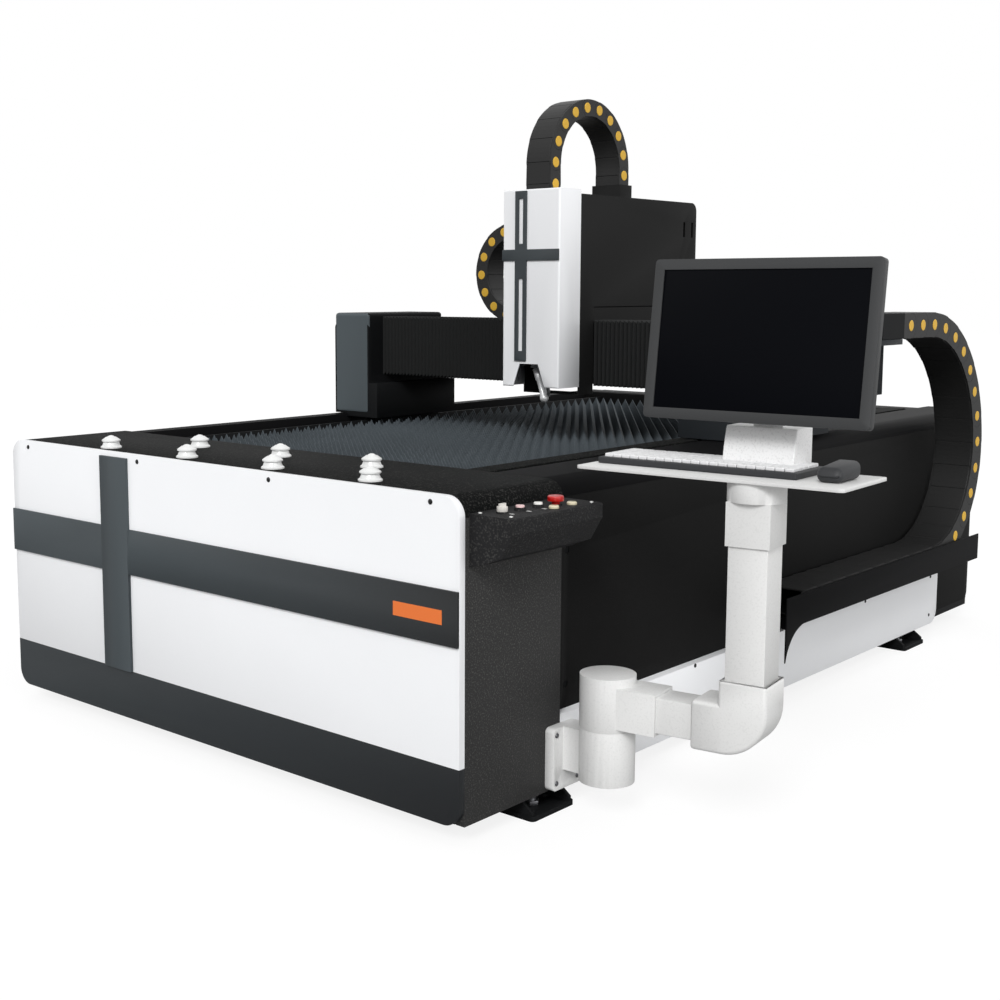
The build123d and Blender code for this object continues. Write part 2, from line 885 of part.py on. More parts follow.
# Gantry beam with the tray of the cross chain on top, between two end housings on the rails
beam_front = gantry_front + beam_setback
beam_top = beam_bottom + beam_height
cross_chain_y = beam_front + beam_depth - chain_tray_width / 2 + tray_sheet
with BuildPart() as gantry_beam:
    block(
        (-beam_half_length, beam_half_length),
        (beam_front, beam_front + beam_depth),
        (beam_bottom, beam_top),
    )
    block(
        (-beam_half_length, beam_half_length),
        (beam_front + beam_wall, beam_front + beam_depth - beam_wall),
        (beam_bottom + beam_wall, beam_top - beam_wall),
        mode=Mode.SUBTRACT,
    )
    with BuildSketch(facing_x(chain_tray_left)):
        with BuildLine():
            Polyline(
                (cross_chain_y - chain_tray_width / 2, beam_top + chain_tray_lip),
                (cross_chain_y - chain_tray_width / 2, beam_top),
                (cross_chain_y + chain_tray_width / 2, beam_top),
                (cross_chain_y + chain_tray_width / 2, beam_top + chain_tray_lip),
            )
            offset(amount=chain_tray_height / 2, side=Side.LEFT)
        make_face()
    extrude(amount=chain_tray_right - chain_tray_left)
save(gantry_beam, "gantry_beam")

with BuildPart() as cross_rails:
    for z in (guide_rail_lower, guide_rail_upper):
        block(
            (-beam_half_length, beam_half_length),
            (beam_front - guide_rail, beam_front),
            (z - guide_rail / 2, z + guide_rail / 2),
        )
save(cross_rails, "cross_rails")

block_top = bed_top + block_lift + block_height
left_leg_right = -half + left_leg_reach
right_hood_outer = half - right_hood_inset
shoe_front = gantry_front + web_setback
with BuildPart() as left_end_housing:
    with BuildSketch(facing_y(gantry_front)) as outline:
        with BuildLine():
            Polyline(
                (-half, deck_height - left_cover_drop + leg_clearance),
                (channel_left, deck_height - left_cover_drop + leg_clearance),
                (channel_left, slat_top + slat_clearance),
                (left_leg_right, slat_top + slat_clearance),
                (left_leg_right, leg_top),
                (-beam_half_length, leg_top),
                (-beam_half_length, hood_top),
                (-half, hood_top),
                close=True,
            )
        make_face()
        fillet(outline.vertices().group_by(Axis.Y)[-1], hood_radius)
    extrude(amount=-hood_depth)
    block(
        (-half, -beam_half_length),
        (gantry_front + hood_depth, beam_front + beam_depth),
        (leg_top, beam_top - hood_step),
    )
    block(
        (channel_left, left_leg_right),
        (gantry_front + hood_depth, gantry_front + leg_depth),
        (slat_top + slat_clearance, leg_top),
    )
    block(
        (channel_left + leg_clearance, channel_right - leg_clearance),
        (shoe_front, shoe_front + foot_block_length),
        (block_top, slat_top + slat_clearance),
    )
save(left_end_housing, "left_end_housing")

web_left = ledge_right + (slot_width - web_thickness) / 2
right_leg_bottom = deck_height + leg_clearance
right_hood_bottom = leg_top - cover_sheet * 2
with BuildPart() as right_end_housing:
    with BuildSketch(facing_y(gantry_front)) as outline:
        with BuildLine():
            Polyline(
                (half - right_leg_reach, right_leg_bottom),
                (right_hood_outer, right_leg_bottom),
                (right_hood_outer, right_hood_top),
                (beam_half_length, right_hood_top),
                (beam_half_length, right_hood_bottom),
                (half - right_leg_reach, right_hood_bottom),
                close=True,
            )
        make_face()
        fillet(outline.vertices().group_by(Axis.Y)[-1], hood_radius)
    extrude(amount=-leg_depth)
    with BuildSketch(facing_y(gantry_front + leg_depth)) as outline:
        hood_middle = (beam_half_length + right_hood_outer) / 2
        with Locations((hood_middle, (right_hood_bottom + right_hood_top) / 2)):
            Rectangle(right_hood_outer - beam_half_length, right_hood_top - right_hood_bottom)
        fillet(outline.vertices().group_by(Axis.Y)[-1], hood_radius)
    extrude(amount=-(right_hood_depth - leg_depth))
    block(
        (web_left, web_left + web_thickness),
        (shoe_front, shoe_front + foot_block_length),
        (block_top, right_leg_bottom),
    )
    block(
        (web_left, rail_centres[1] + block_width / 2),
        (shoe_front, shoe_front + foot_block_length),
        (block_top, block_top + foot_flange),
    )
    block(
        (right_hood_outer, side + long_chain_gap + long_link_width),
        (front + long_chain_start - long_link_pitch, front + long_chain_start + long_link_pitch),
        (
            long_upper_run - long_link_height / 2 - seat_gap - web_thickness,
            long_upper_run - long_link_height / 2 - seat_gap,
        ),
    )
save(right_end_housing, "right_end_housing")

with BuildPart() as rail_blocks:
    for x in rail_centres:
        for y in (shoe_front, shoe_front + foot_block_length - block_length):
            block(
                (x - block_width / 2, x + block_width / 2),
                (y, y + block_length),
                (bed_top + block_lift, block_top),
            )
        block(
            (x - rail_width / 2 - block_clearance, x + rail_width / 2 + block_clearance),
            (shoe_front, shoe_front + foot_block_length),
            (bed_top, bed_top + rail_height + block_clearance),
            mode=Mode.SUBTRACT,
        )
save(rail_blocks, "rail_blocks")

# Bellows over the cross rails: an even number of half pleats between an end housing and the carriage
def bellows(start, end, name):
    fold_count = 2 * round((end - start) / bellows_pleat)
    fold_length = (end - start - 2 * bellows_gap) / fold_count
    with BuildPart() as piece:
        for i in range(fold_count + 1):
            inset = bellows_fold * (i % 2)
            near = beam_front - bellows_depth + inset
            far = beam_front - bellows_gap
            bottom = bellows_bottom + inset
            top = bellows_bottom + bellows_height - inset
            with BuildSketch(facing_x(start + bellows_gap + i * fold_length)):
                with Locations(((near + far) / 2, (bottom + top) / 2)):
                    Rectangle(far - near, top - bottom)
        loft(ruled=True)
        block(
            (start, end),
            (beam_front - bellows_depth + bellows_wall, beam_front),
            (bellows_bottom + bellows_wall, bellows_bottom + bellows_height - bellows_wall),
            mode=Mode.SUBTRACT,
        )
    save(piece, name)


bellows(-beam_half_length, carriage_left, "bellows_left")
bellows(carriage_right, beam_half_length, "bellows_right")

# Carriage plate: runs on the cross rails and carries the two upright lift rails
plate_front = gantry_front + carriage_plate_setback
plate_rear = plate_front + carriage_plate_thickness
with BuildPart() as carriage_plate:
    block(
        (carriage_left + carriage_plate_margin, carriage_right - carriage_plate_margin),
        (plate_front, plate_rear),
        (carriage_plate_bottom, carriage_plate_top),
    )
    for x in (carriage_middle - lift_rail_spacing / 2, carriage_middle + lift_rail_spacing / 2):
        block(
            (x - lift_rail_width / 2, x + lift_rail_width / 2),
            (plate_front - lift_rail_depth, plate_front),
            (carriage_plate_bottom, carriage_plate_top),
        )
    for z in (guide_rail_lower, guide_rail_upper):
        for x in (carriage_middle - carriage_block_spacing / 2, carriage_middle + carriage_block_spacing / 2):
            block(
                (x - carriage_block_length / 2, x + carriage_block_length / 2),
                (plate_rear, beam_front - panel_gap),
                (z - carriage_block_width / 2, z + carriage_block_width / 2),
            )
        block(
            (carriage_left, carriage_right),
            (beam_front - guide_rail - block_clearance, beam_front),
            (z - guide_rail / 2 - block_clearance, z + guide_rail / 2 + block_clearance),
            mode=Mode.SUBTRACT,
        )
save(carriage_plate, "carriage_plate")

# Carriage cover: a saddle over the beam, open in front and below, vented on the right
head_front = gantry_front - head_cover_front
head_chain_front_y = head_front + head_chain_front_inset
socket_centre = head_chain_front_y + 2 * head_chain_radius
socket_x = (head_chain_left, head_chain_left + small_link_width)
cover_front = gantry_front + carriage_cover_setback
cover_rear = cover_front + carriage_cover_depth + panel_gap * 2
arch_front = cover_front + carriage_front_wall
arch_rear = arch_front + carriage_arch_depth
with BuildPart() as carriage_cover:
    with BuildSketch(facing_x(carriage_left)) as outline:
        with BuildLine():
            Polyline(
                (cover_front, carriage_cover_bottom),
                (cover_front, carriage_cover_top),
                (cover_rear, carriage_cover_top),
                (cover_rear, carriage_rear_bottom),
                (arch_rear, carriage_rear_bottom),
                (arch_rear, carriage_arch_top),
                (arch_front, carriage_arch_top),
                (arch_front, carriage_cover_bottom),
                close=True,
            )
        make_face()
        fillet(outline.vertices().sort_by(Axis.X)[-2:].sort_by(Axis.Y)[-1], carriage_corner)
    extrude(amount=carriage_width)
    with BuildSketch(facing_x(carriage_left + carriage_cover_sheet)) as hollow:
        with BuildLine():
            Polyline(
                (cover_front - carriage_cover_sheet, carriage_cover_bottom + carriage_cover_sheet),
                (cover_front - carriage_cover_sheet, carriage_cover_top - carriage_cover_sheet),
                (cover_rear - carriage_cover_sheet, carriage_cover_top - carriage_cover_sheet),
                (cover_rear - carriage_cover_sheet, carriage_rear_bottom - carriage_cover_sheet),
                (arch_rear - carriage_cover_sheet, carriage_rear_bottom - carriage_cover_sheet),
                (arch_rear - carriage_cover_sheet, carriage_arch_top - carriage_cover_sheet),
                (arch_front + carriage_cover_sheet, carriage_arch_top - carriage_cover_sheet),
                (arch_front + carriage_cover_sheet, carriage_cover_bottom + carriage_cover_sheet),
                close=True,
            )
        make_face()
        fillet(
            hollow.vertices().sort_by(Axis.X)[-2:].sort_by(Axis.Y)[-1], carriage_corner - carriage_cover_sheet
        )
    extrude(amount=carriage_width - 2 * carriage_cover_sheet, mode=Mode.SUBTRACT)
    for i in range(2):
        y = cover_rear - vent_inset - i * vent_spacing
        block(
            (carriage_right - 2 * carriage_cover_sheet, carriage_right),
            (y - vent_width / 2, y + vent_width / 2),
            (vent_bottom, vent_bottom + vent_height),
            mode=Mode.SUBTRACT,
        )
    block(
        (socket_x[0] - head_socket_wall, socket_x[1] + head_socket_wall),
        (
            socket_centre - small_link_height / 2 - head_socket_wall,
            socket_centre + small_link_height / 2 + head_socket_wall,
        ),
        (carriage_cover_top, carriage_cover_top + head_socket_height),
    )
    block(
        (socket_x[0] - seat_gap, socket_x[1] + seat_gap),
        (
            socket_centre - small_link_height / 2 - seat_gap,
            socket_centre + small_link_height / 2 + seat_gap,
        ),
        (carriage_cover_top, carriage_cover_top + head_socket_height),
        mode=Mode.SUBTRACT,
    )
save(carriage_cover, "carriage_cover")

# White head cover with the notch through which the head shows, and the crossed trim on it
with BuildPart() as head_cover:
    block(
        (carriage_left, carriage_left + head_cover_width),
        (head_front, head_front + head_cover_depth),
        (head_cover_bottom, head_cover_top),
    )
    fillet(head_cover.faces().sort_by(Axis.Y)[0].edges(), head_cover_edge)
    block(
        (carriage_left + head_cover_sheet, carriage_left + head_cover_width - head_cover_sheet),
        (head_front + head_cover_sheet, head_front + head_cover_depth),
        (head_cover_bottom, head_cover_top - head_cover_sheet),
        mode=Mode.SUBTRACT,
    )
    notch_middle = carriage_middle + notch_offset
    with BuildSketch(facing_y(head_front)):
        with BuildLine():
            Polyline(
                (notch_middle - notch_bottom_width / 2, head_cover_bottom),
                (notch_middle - notch_top_width / 2, head_cover_bottom + notch_height),
                (notch_middle + notch_top_width / 2, head_cover_bottom + notch_height),
                (notch_middle + notch_bottom_width / 2, head_cover_bottom),
                close=True,
            )
        make_face()
    extrude(amount=-head_cover_edge * 2, mode=Mode.SUBTRACT)
    block(
        (socket_x[0] - head_socket_wall, socket_x[1] + head_socket_wall),
        (
            head_chain_front_y - small_link_height / 2 - head_socket_wall,
            head_chain_front_y + small_link_height / 2 + head_socket_wall,
        ),
        (head_cover_top - head_cover_sheet, head_cover_top),
        mode=Mode.SUBTRACT,
    )
save(head_cover, "head_cover")

with BuildPart() as head_trim:
    with BuildSketch(facing_y(head_front)):
        with Locations((trim_left + trim_width / 2, (trim_bottom + trim_top) / 2)):
            Rectangle(trim_width, trim_top - trim_bottom)
        with Locations((carriage_left + head_cover_width / 2, trim_bar_bottom + trim_bar_height / 2)):
            Rectangle(head_cover_width, trim_bar_height)
        for bottom, height in (
            (lower_slot_bottom, lower_slot_height),
            (upper_slot_bottom, upper_slot_height),
        ):
            with Locations((trim_left + trim_width / 2, bottom + height / 2)):
                Rectangle(trim_slot_width, height, mode=Mode.SUBTRACT)
    extrude(amount=trim_thickness)
save(head_trim, "head_trim")

# Cutting head: back plate on the lift rails, barrel, bent arm and nozzle
head_plate_rear = plate_front - lift_rail_depth - head_plate_setback
head_plate_front = head_plate_rear - head_plate_thickness
head_y = head_front + head_axis_inset
head_x = carriage_left + head_axis_offset
nozzle_x = head_x + arm_drop_reach
with BuildPart() as cutting_head:
    block(
        (carriage_left + carriage_plate_margin * 2, carriage_right - carriage_plate_margin * 2),
        (head_plate_front, head_plate_rear),
        (head_plate_bottom, head_plate_bottom + head_plate_height),
    )
    for x in (carriage_middle - lift_rail_spacing / 2, carriage_middle + lift_rail_spacing / 2):
        for z in (head_plate_bottom, head_plate_bottom + head_plate_height - carriage_block_length):
            block(
                (x - lift_block_width / 2, x + lift_block_width / 2),
                (head_plate_rear, plate_front - panel_gap),
                (z, z + carriage_block_length),
            )
        block(
            (x - lift_rail_width / 2 - block_clearance, x + lift_rail_width / 2 + block_clearance),
            (plate_front - lift_rail_depth - block_clearance, plate_front),
            (head_plate_bottom, head_plate_bottom + head_plate_height),
            mode=Mode.SUBTRACT,
        )
    with BuildSketch(Plane.XY.offset(head_body_bottom)):
        with Locations((head_x, head_y)):
            Circle(head_body_diameter / 2)
    extrude(amount=head_body_top - head_body_bottom)
    block(
        (head_x - head_body_diameter / 4, head_x + head_body_diameter / 4),
        (head_y, head_plate_front),
        (head_plate_bottom, head_body_top),
    )
    with BuildSketch(facing_y(head_y + arm_drop_width / 2)):
        with BuildLine():
            Polyline(
                (head_x - arm_drop_width, head_body_bottom),
                (head_x + arm_drop_width, head_body_bottom),
                (nozzle_x + nozzle_diameter / 2, nozzle_tip + nozzle_height * 2),
                (nozzle_x + nozzle_diameter / 2, nozzle_tip + nozzle_height),
                (nozzle_x - nozzle_diameter / 2, nozzle_tip + nozzle_height),
                (nozzle_x - nozzle_diameter / 2, nozzle_tip + nozzle_height * 3),
                close=True,
            )
        make_face()
    extrude(amount=arm_drop_width)
    with Locations((nozzle_x, head_y, nozzle_tip)):
        Cone(
            nozzle_tip_diameter / 2,
            nozzle_diameter / 2,
            nozzle_height,
            align=(Align.CENTER, Align.CENTER, Align.MIN),
        )
save(cutting_head, "cutting_head")

# Energy chains: each link is a tunnel with chamfered ends and two tongues inside the next link
def chain_link(pitch, width, height, wall):
    with BuildPart() as link:
        reach = (pitch - link_gap) / 2
        with BuildSketch():
            with BuildLine():
                Polyline(
                    (reach, 0),
                    (reach - link_taper, height / 2),
                    (link_taper - reach, height / 2),
                    (-reach, 0),
                    (link_taper - reach, -height / 2),
                    (reach - link_taper, -height / 2),
                    close=True,
                )
            make_face()
        extrude(amount=width / 2, both=True)
        block(
            (-pitch, pitch),
            (wall - height / 2, height / 2 - wall),
            (wall - width / 2, width / 2 - wall),
            mode=Mode.SUBTRACT,
        )
        inner = width / 2 - wall - link_gap
        tongue = (-height * tongue_share / 2, height * tongue_share / 2)
        for z in ((-inner, wall - inner), (inner - wall, inner)):
            block((pitch / 2 - tongue_length, pitch / 2 + tongue_length), tongue, z)
        for z in ((-inner - link_gap, wall - inner), (inner - wall, inner + link_gap)):
            block((pitch / 2 - tongue_length, pitch / 2 - tongue_length / 2), tongue, z)
    return link.part


def save_chain(link, path, normal, pitch, count, name):
    """Sets links end to end along a path that lies in a plane with this normal."""
    places = []
    for i in range(count):
        near = path.position_at(i * pitch, position_mode=PositionMode.LENGTH)
        far = path.position_at((i + 1) * pitch, position_mode=PositionMode.LENGTH)
        places.append(Plane(origin=(near + far) / 2, x_dir=far - near, z_dir=normal))
    with BuildPart() as chain:
        with Locations(*places):
            add(link)
    save(chain, name)


loop_y = front + long_upper_centre
loop_z = long_upper_run - long_upper_radius
with BuildLine(facing_x(side + long_chain_gap + long_link_width / 2)) as long_path:
    Line((front + long_chain_start, long_upper_run), (loop_y, long_upper_run))
    CenterArc((loop_y, loop_z), long_upper_radius, 90, -90)
    CenterArc((loop_y + long_upper_radius - long_lower_radius, loop_z), long_lower_radius, 0, -90)
    Line(
        (loop_y + long_upper_radius - long_lower_radius, long_lower_run),
        (front, long_lower_run),
    )
long_link = chain_link(long_link_pitch, long_link_width, long_link_height, long_link_wall)
save_chain(long_link, long_path.wire(), (1, 0, 0), long_link_pitch, long_link_count, "long_chain")

small_link = chain_link(small_link_pitch, small_link_width, small_link_height, small_link_wall)
cross_low = beam_top + chain_tray_height / 2 + cross_chain_floor_gap + small_link_height / 2
cross_high = cross_low + 2 * cross_chain_radius
with BuildLine(facing_y(cross_chain_y)) as cross_path:
    Line((carriage_left, cross_high), (cross_chain_centre, cross_high))
    CenterArc((cross_chain_centre, cross_low + cross_chain_radius), cross_chain_radius, 90, 180)
    Line((cross_chain_centre, cross_low), (beam_half_length, cross_low))
save_chain(small_link, cross_path.wire(), (0, -1, 0), small_link_pitch, cross_link_count, "cross_chain")

with BuildLine(facing_x(head_chain_left + small_link_width / 2)) as head_path:
    Line((socket_centre, carriage_cover_top), (socket_centre, head_chain_leg_top))
    CenterArc((socket_centre - head_chain_radius, head_chain_leg_top), head_chain_radius, 0, 180)
    Line((head_chain_front_y, head_chain_leg_top), (head_chain_front_y, carriage_plate_bottom))
save_chain(small_link, head_path.wire(), (1, 0, 0), small_link_pitch, head_link_count, "head_chain")

# Operator's arm: bolted base with an upright pin, shoulder, tube, elbow, column and sleeve
arm_x = half + arm_axis_reach
arm_y = front + arm_axis_setback
post_top = arm_post_bottom + arm_post_height
plate_middle = (
    front + arm_plate_setback + arm_plate_width / 2, arm_plate_bottom + arm_plate_height / 2
)
with BuildPart() as arm_base:
    with BuildSketch(facing_x(half)):
        with Locations(plate_middle):
            RectangleRounded(arm_plate_width, arm_plate_height, foot_corner)
            with GridLocations(arm_bolt_spacing_y, arm_bolt_spacing_z, 2, 2):
                Circle(arm_bolt_diameter / 2, mode=Mode.SUBTRACT)
    extrude(amount=arm_plate_thickness)
    block(
        (half + arm_plate_thickness / 2, arm_x),
        (arm_y - arm_rib_width / 2, arm_y + arm_rib_width / 2 - foot_corner),
        (arm_rib_bottom, arm_rib_bottom + arm_rib_height),
    )
    with Locations((arm_x, arm_y, arm_post_bottom)):
        Cylinder(arm_post_diameter / 2, arm_post_height, align=(Align.CENTER, Align.CENTER, Align.MIN))
    with Locations((arm_x, arm_y, post_top)):
        Cylinder(arm_pin_diameter / 2, arm_pin_height, align=(Align.CENTER, Align.CENTER, Align.MIN))
save(arm_base, "arm_base")

# The arm's own frame: x runs outwards along the tube, z is up, the origin is on the shoulder's axis
arm_frame = Plane(
    origin=(arm_x, arm_y, 0),
    x_dir=(math.cos(math.radians(arm_yaw)), math.sin(math.radians(arm_yaw)), 0),
    z_dir=(0, 0, 1),
)
shoulder_bottom = post_top + seat_gap
with BuildPart(arm_frame) as arm_shoulder:
    with Locations((0, 0, shoulder_bottom)):
        Cylinder(arm_post_diameter / 2, arm_shoulder_height, align=(Align.CENTER, Align.CENTER, Align.MIN))
    with Locations((socket_reach / 2, 0, arm_centre_height)):
        Box(socket_reach, socket_size, socket_size)
    with Locations((socket_reach, 0, arm_centre_height)):
        Box(
            2 * (socket_reach - tube_start), socket_size - 2 * socket_wall, socket_size - 2 * socket_wall,
            mode=Mode.SUBTRACT,
        )
    with Locations((0, 0, shoulder_bottom)):
        Cylinder(
            arm_pin_diameter / 2 + arm_pin_clearance,
            arm_pin_height + seat_gap,
            align=(Align.CENTER, Align.CENTER, Align.MIN),
            mode=Mode.SUBTRACT,
        )
save(arm_shoulder, "arm_shoulder")

tube_end = arm_length - elbow_leg_length + elbow_depth
with BuildPart(arm_frame) as arm_tube:
    with Locations(((tube_start + tube_end) / 2, 0, arm_centre_height)):
        Box(tube_end - tube_start, tube_size, tube_size)
        Box(tube_end - tube_start, tube_size - 2 * tube_wall, tube_size - 2 * tube_wall, mode=Mode.SUBTRACT)
save(arm_tube, "arm_tube")

with BuildPart(arm_frame) as arm_elbow:
    with Locations((arm_length - (elbow_leg_length - elbow_size / 2) / 2, 0, arm_centre_height)):
        Box(elbow_leg_length + elbow_size / 2, elbow_size, elbow_size)
    with Locations((arm_length, 0, arm_centre_height - elbow_size / 2)):
        Box(
            elbow_size,
            elbow_size,
            elbow_leg_top - arm_centre_height + elbow_size / 2,
            align=(Align.CENTER, Align.CENTER, Align.MIN),
        )
    across = Axis(arm_frame.origin, arm_frame.y_dir)
    heel = arm_elbow.edges().filter_by(across).group_by(Axis.Z)[0].sort_by(Axis.X)[-1]
    fillet(heel, elbow_radius)
    with Locations((arm_length - elbow_leg_length, 0, arm_centre_height)):
        Box(2 * elbow_depth, tube_size, tube_size, mode=Mode.SUBTRACT)
    with Locations((arm_length, 0, elbow_leg_top)):
        Box(column_size, column_size, 2 * elbow_depth, mode=Mode.SUBTRACT)
save(arm_elbow, "arm_elbow")

column_bottom = elbow_leg_top - elbow_depth
sleeve_top = sleeve_bottom + sleeve_height
boss_top = sleeve_top + boss_height
with BuildPart(arm_frame) as arm_column:
    with Locations((arm_length, 0, (column_bottom + sleeve_top) / 2)):
        Box(column_size, column_size, sleeve_top - column_bottom)
        Box(
            column_size - 2 * column_wall, column_size - 2 * column_wall, sleeve_top - column_bottom,
            mode=Mode.SUBTRACT,
        )
save(arm_column, "arm_column")

with BuildPart(arm_frame) as column_sleeve:
    with Locations((arm_length, 0, (sleeve_bottom + sleeve_top) / 2)):
        Box(sleeve_size, sleeve_size, sleeve_height)
        Box(column_size, column_size, sleeve_height, mode=Mode.SUBTRACT)
    with Locations((arm_length, 0, sleeve_top)):
        Cylinder(boss_diameter / 2, boss_height, align=(Align.CENTER, Align.CENTER, Align.MIN))
    with Locations((arm_length, 0, boss_top)):
        Cylinder(
            tray_pin_diameter / 2 + arm_pin_clearance,
            tray_pin_height + seat_gap,
            align=(Align.CENTER, Align.CENTER, Align.MAX),
            mode=Mode.SUBTRACT,
        )
save(column_sleeve, "column_sleeve")

# The tray's own frame: its origin is where the column's axis meets the top of the board
board_bottom = boss_top + seat_gap
board_top = board_bottom + tray_board_thickness
column_place = arm_frame.from_local_coords((arm_length, 0, board_top))
tray_frame = Plane(
    origin=column_place,
    x_dir=(math.cos(math.radians(tray_yaw)), math.sin(math.radians(tray_yaw)), 0),
    z_dir=(0, 0, 1),
)
with BuildPart(tray_frame.offset(-tray_board_thickness)) as tray:
    with BuildSketch(tray_frame.offset(-tray_board_thickness)):
        with Locations(((tray_board_left + tray_board_right) / 2, (tray_board_near + tray_board_far) / 2)):
            RectangleRounded(
                tray_board_right - tray_board_left, tray_board_far - tray_board_near, tray_board_corner
            )
    extrude(amount=tray_board_thickness)
    Cylinder(tray_pin_diameter / 2, tray_pin_height, align=(Align.CENTER, Align.CENTER, Align.MAX))
save(tray, "tray")

with BuildPart(tray_frame) as keyboard:
    with Locations((keyboard_left + keyboard_length / 2, keyboard_depth / 2, keyboard_height / 2)):
        Box(keyboard_length, keyboard_depth, keyboard_height)
    chamfer(keyboard.faces().sort_by(Axis.Z)[-1].edges(), tray_board_thickness / 3)
    with Locations((keyboard_left + keyboard_length / 2, keyboard_depth / 2, keyboard_height)):
        with GridLocations(1, key_row_pitch, 1, keyboard_rows):
            Box(
                keyboard_length - 2 * key_row_margin,
                key_row_depth,
                key_row_height,
                align=(Align.CENTER, Align.CENTER, Align.MIN),
            )
save(keyboard, "keyboard")

with BuildPart(tray_frame) as mouse:
    mouse_middle = Plane(
        origin=tray_frame.from_local_coords((mouse_centre[0], 0, 0)),
        x_dir=tray_frame.y_dir,
        z_dir=tray_frame.x_dir,
    )
    with BuildSketch(mouse_middle):
        with BuildLine():
            Polyline(
                (mouse_centre[1] - mouse_length / 2, 0),
                (mouse_centre[1] + mouse_length / 2, 0),
                (mouse_centre[1] + mouse_length / 2, mouse_front_height),
(mouse_centre[1] + mouse_hump, mouse_rear_height),
                (mouse_centre[1] - mouse_length / 2, mouse_front_height),
                close=True,
            )
        make_face()
    extrude(amount=mouse_width / 2, both=True)
    fillet(mouse.edges().filter_by(Axis.Z), mouse_radius)
save(mouse, "mouse")

# Monitor stand: flared pedestal with a neck that holds the tilt hinge's pin
with BuildPart(tray_frame) as monitor_stand:
    with Locations((pedestal_left + pedestal_width / 2, pedestal_foot_near, 0)):
        Box(
            pedestal_width - 2 * pedestal_foot_inset,
            pedestal_foot_depth,
            pedestal_foot_height,
            align=(Align.CENTER, Align.MIN, Align.MIN),
        )
    pedestal_side = Plane(
        origin=tray_frame.from_local_coords((pedestal_left, pedestal_near, pedestal_foot_height)),
        x_dir=tray_frame.y_dir,
        z_dir=tray_frame.x_dir,
    )
    with BuildSketch(pedestal_side):
        with BuildLine():
            Polyline(
                (0, 0), (pedestal_depth, 0), (pedestal_depth, pedestal_height), (pedestal_flare, pedestal_height)
            )
            RadiusArc((pedestal_flare, pedestal_height), (0, 0), pedestal_height * 2)
        make_face()
    extrude(amount=pedestal_width)
    neck_x = monitor_centre[0]
    pedestal_top = pedestal_foot_height + pedestal_height
    with Locations((neck_x, neck_near + neck_thickness / 2, pedestal_top)):
        Box(
            neck_width,
            neck_thickness,
            hinge_height - pedestal_top,
            align=(Align.CENTER, Align.CENTER, Align.MIN),
        )
    with Locations(Location((neck_x, neck_near + neck_thickness / 2, hinge_height), (0, 90, 0))):
        Cylinder(hinge_diameter / 2, neck_width)
        Cylinder(hinge_pin_diameter / 2, neck_width)
    with Locations((neck_x, neck_near + neck_thickness / 2, hinge_height)):
        Box(lug_width + 2 * seat_gap, hinge_diameter * 2, hinge_diameter * 2, mode=Mode.SUBTRACT)
    with Locations(Location((neck_x, neck_near + neck_thickness / 2, hinge_height), (0, 90, 0))):
        Cylinder(hinge_pin_diameter / 2, neck_width)
save(monitor_stand, "monitor_stand")

# Monitor frame: x along its width, y up the screen, z towards the operator
tilt = math.radians(monitor_tilt)
screen_normal = -math.cos(tilt) * tray_frame.y_dir + Vector(0, 0, math.sin(tilt))
screen_frame = Plane(
    origin=tray_frame.from_local_coords(monitor_centre), x_dir=tray_frame.x_dir, z_dir=screen_normal
)
hinge_place = tray_frame.from_local_coords((neck_x, neck_near + neck_thickness / 2, hinge_height))
screen_back = screen_frame.from_local_coords(
    (0, hinge_height - monitor_centre[2], -monitor_frame_depth - monitor_back_depth / 2)
)
with BuildPart(screen_frame) as monitor_housing:
    with BuildSketch(screen_frame.offset(-monitor_frame_depth)):
        RectangleRounded(monitor_width, monitor_height, monitor_corner)
    extrude(amount=monitor_frame_depth)
    with BuildSketch(screen_frame.offset(-monitor_frame_depth)):
        Rectangle(monitor_cavity_width, monitor_cavity_height)
    with BuildSketch(screen_frame.offset(-monitor_frame_depth - monitor_back_depth)):
        Rectangle(monitor_back_width, monitor_back_height)
    loft()
    with BuildSketch(screen_frame):
        Rectangle(monitor_width - 2 * monitor_bezel, monitor_height - 2 * monitor_bezel)
    extrude(amount=-(screen_recess + screen_thickness), mode=Mode.SUBTRACT)
    lug_side = Plane(origin=hinge_place, x_dir=tray_frame.y_dir, z_dir=tray_frame.x_dir)
    lug_root = lug_side.to_local_coords(screen_back)
    with BuildSketch(lug_side):
        with BuildLine():
            Polyline(
                (0, hinge_diameter / 2),
                (lug_root.X, lug_root.Y + hinge_diameter),
                (lug_root.X, lug_root.Y - hinge_diameter),
                (0, -hinge_diameter / 2),
            )
            RadiusArc((0, -hinge_diameter / 2), (0, hinge_diameter / 2), -hinge_diameter / 2)
        make_face()
        Circle(hinge_pin_diameter / 2 + hinge_pin_clearance, mode=Mode.SUBTRACT)
    extrude(amount=lug_width / 2, both=True)
save(monitor_housing, "monitor_housing")

with BuildPart(screen_frame) as monitor_screen:
    with BuildSketch(screen_frame.offset(-(screen_recess + screen_thickness))):
        Rectangle(monitor_width - 2 * monitor_bezel, monitor_height - 2 * monitor_bezel)
    extrude(amount=screen_thickness)
save(monitor_screen, "monitor_screen")
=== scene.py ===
import json
import math

import bmesh
import bpy
from mathutils import Matrix, Vector


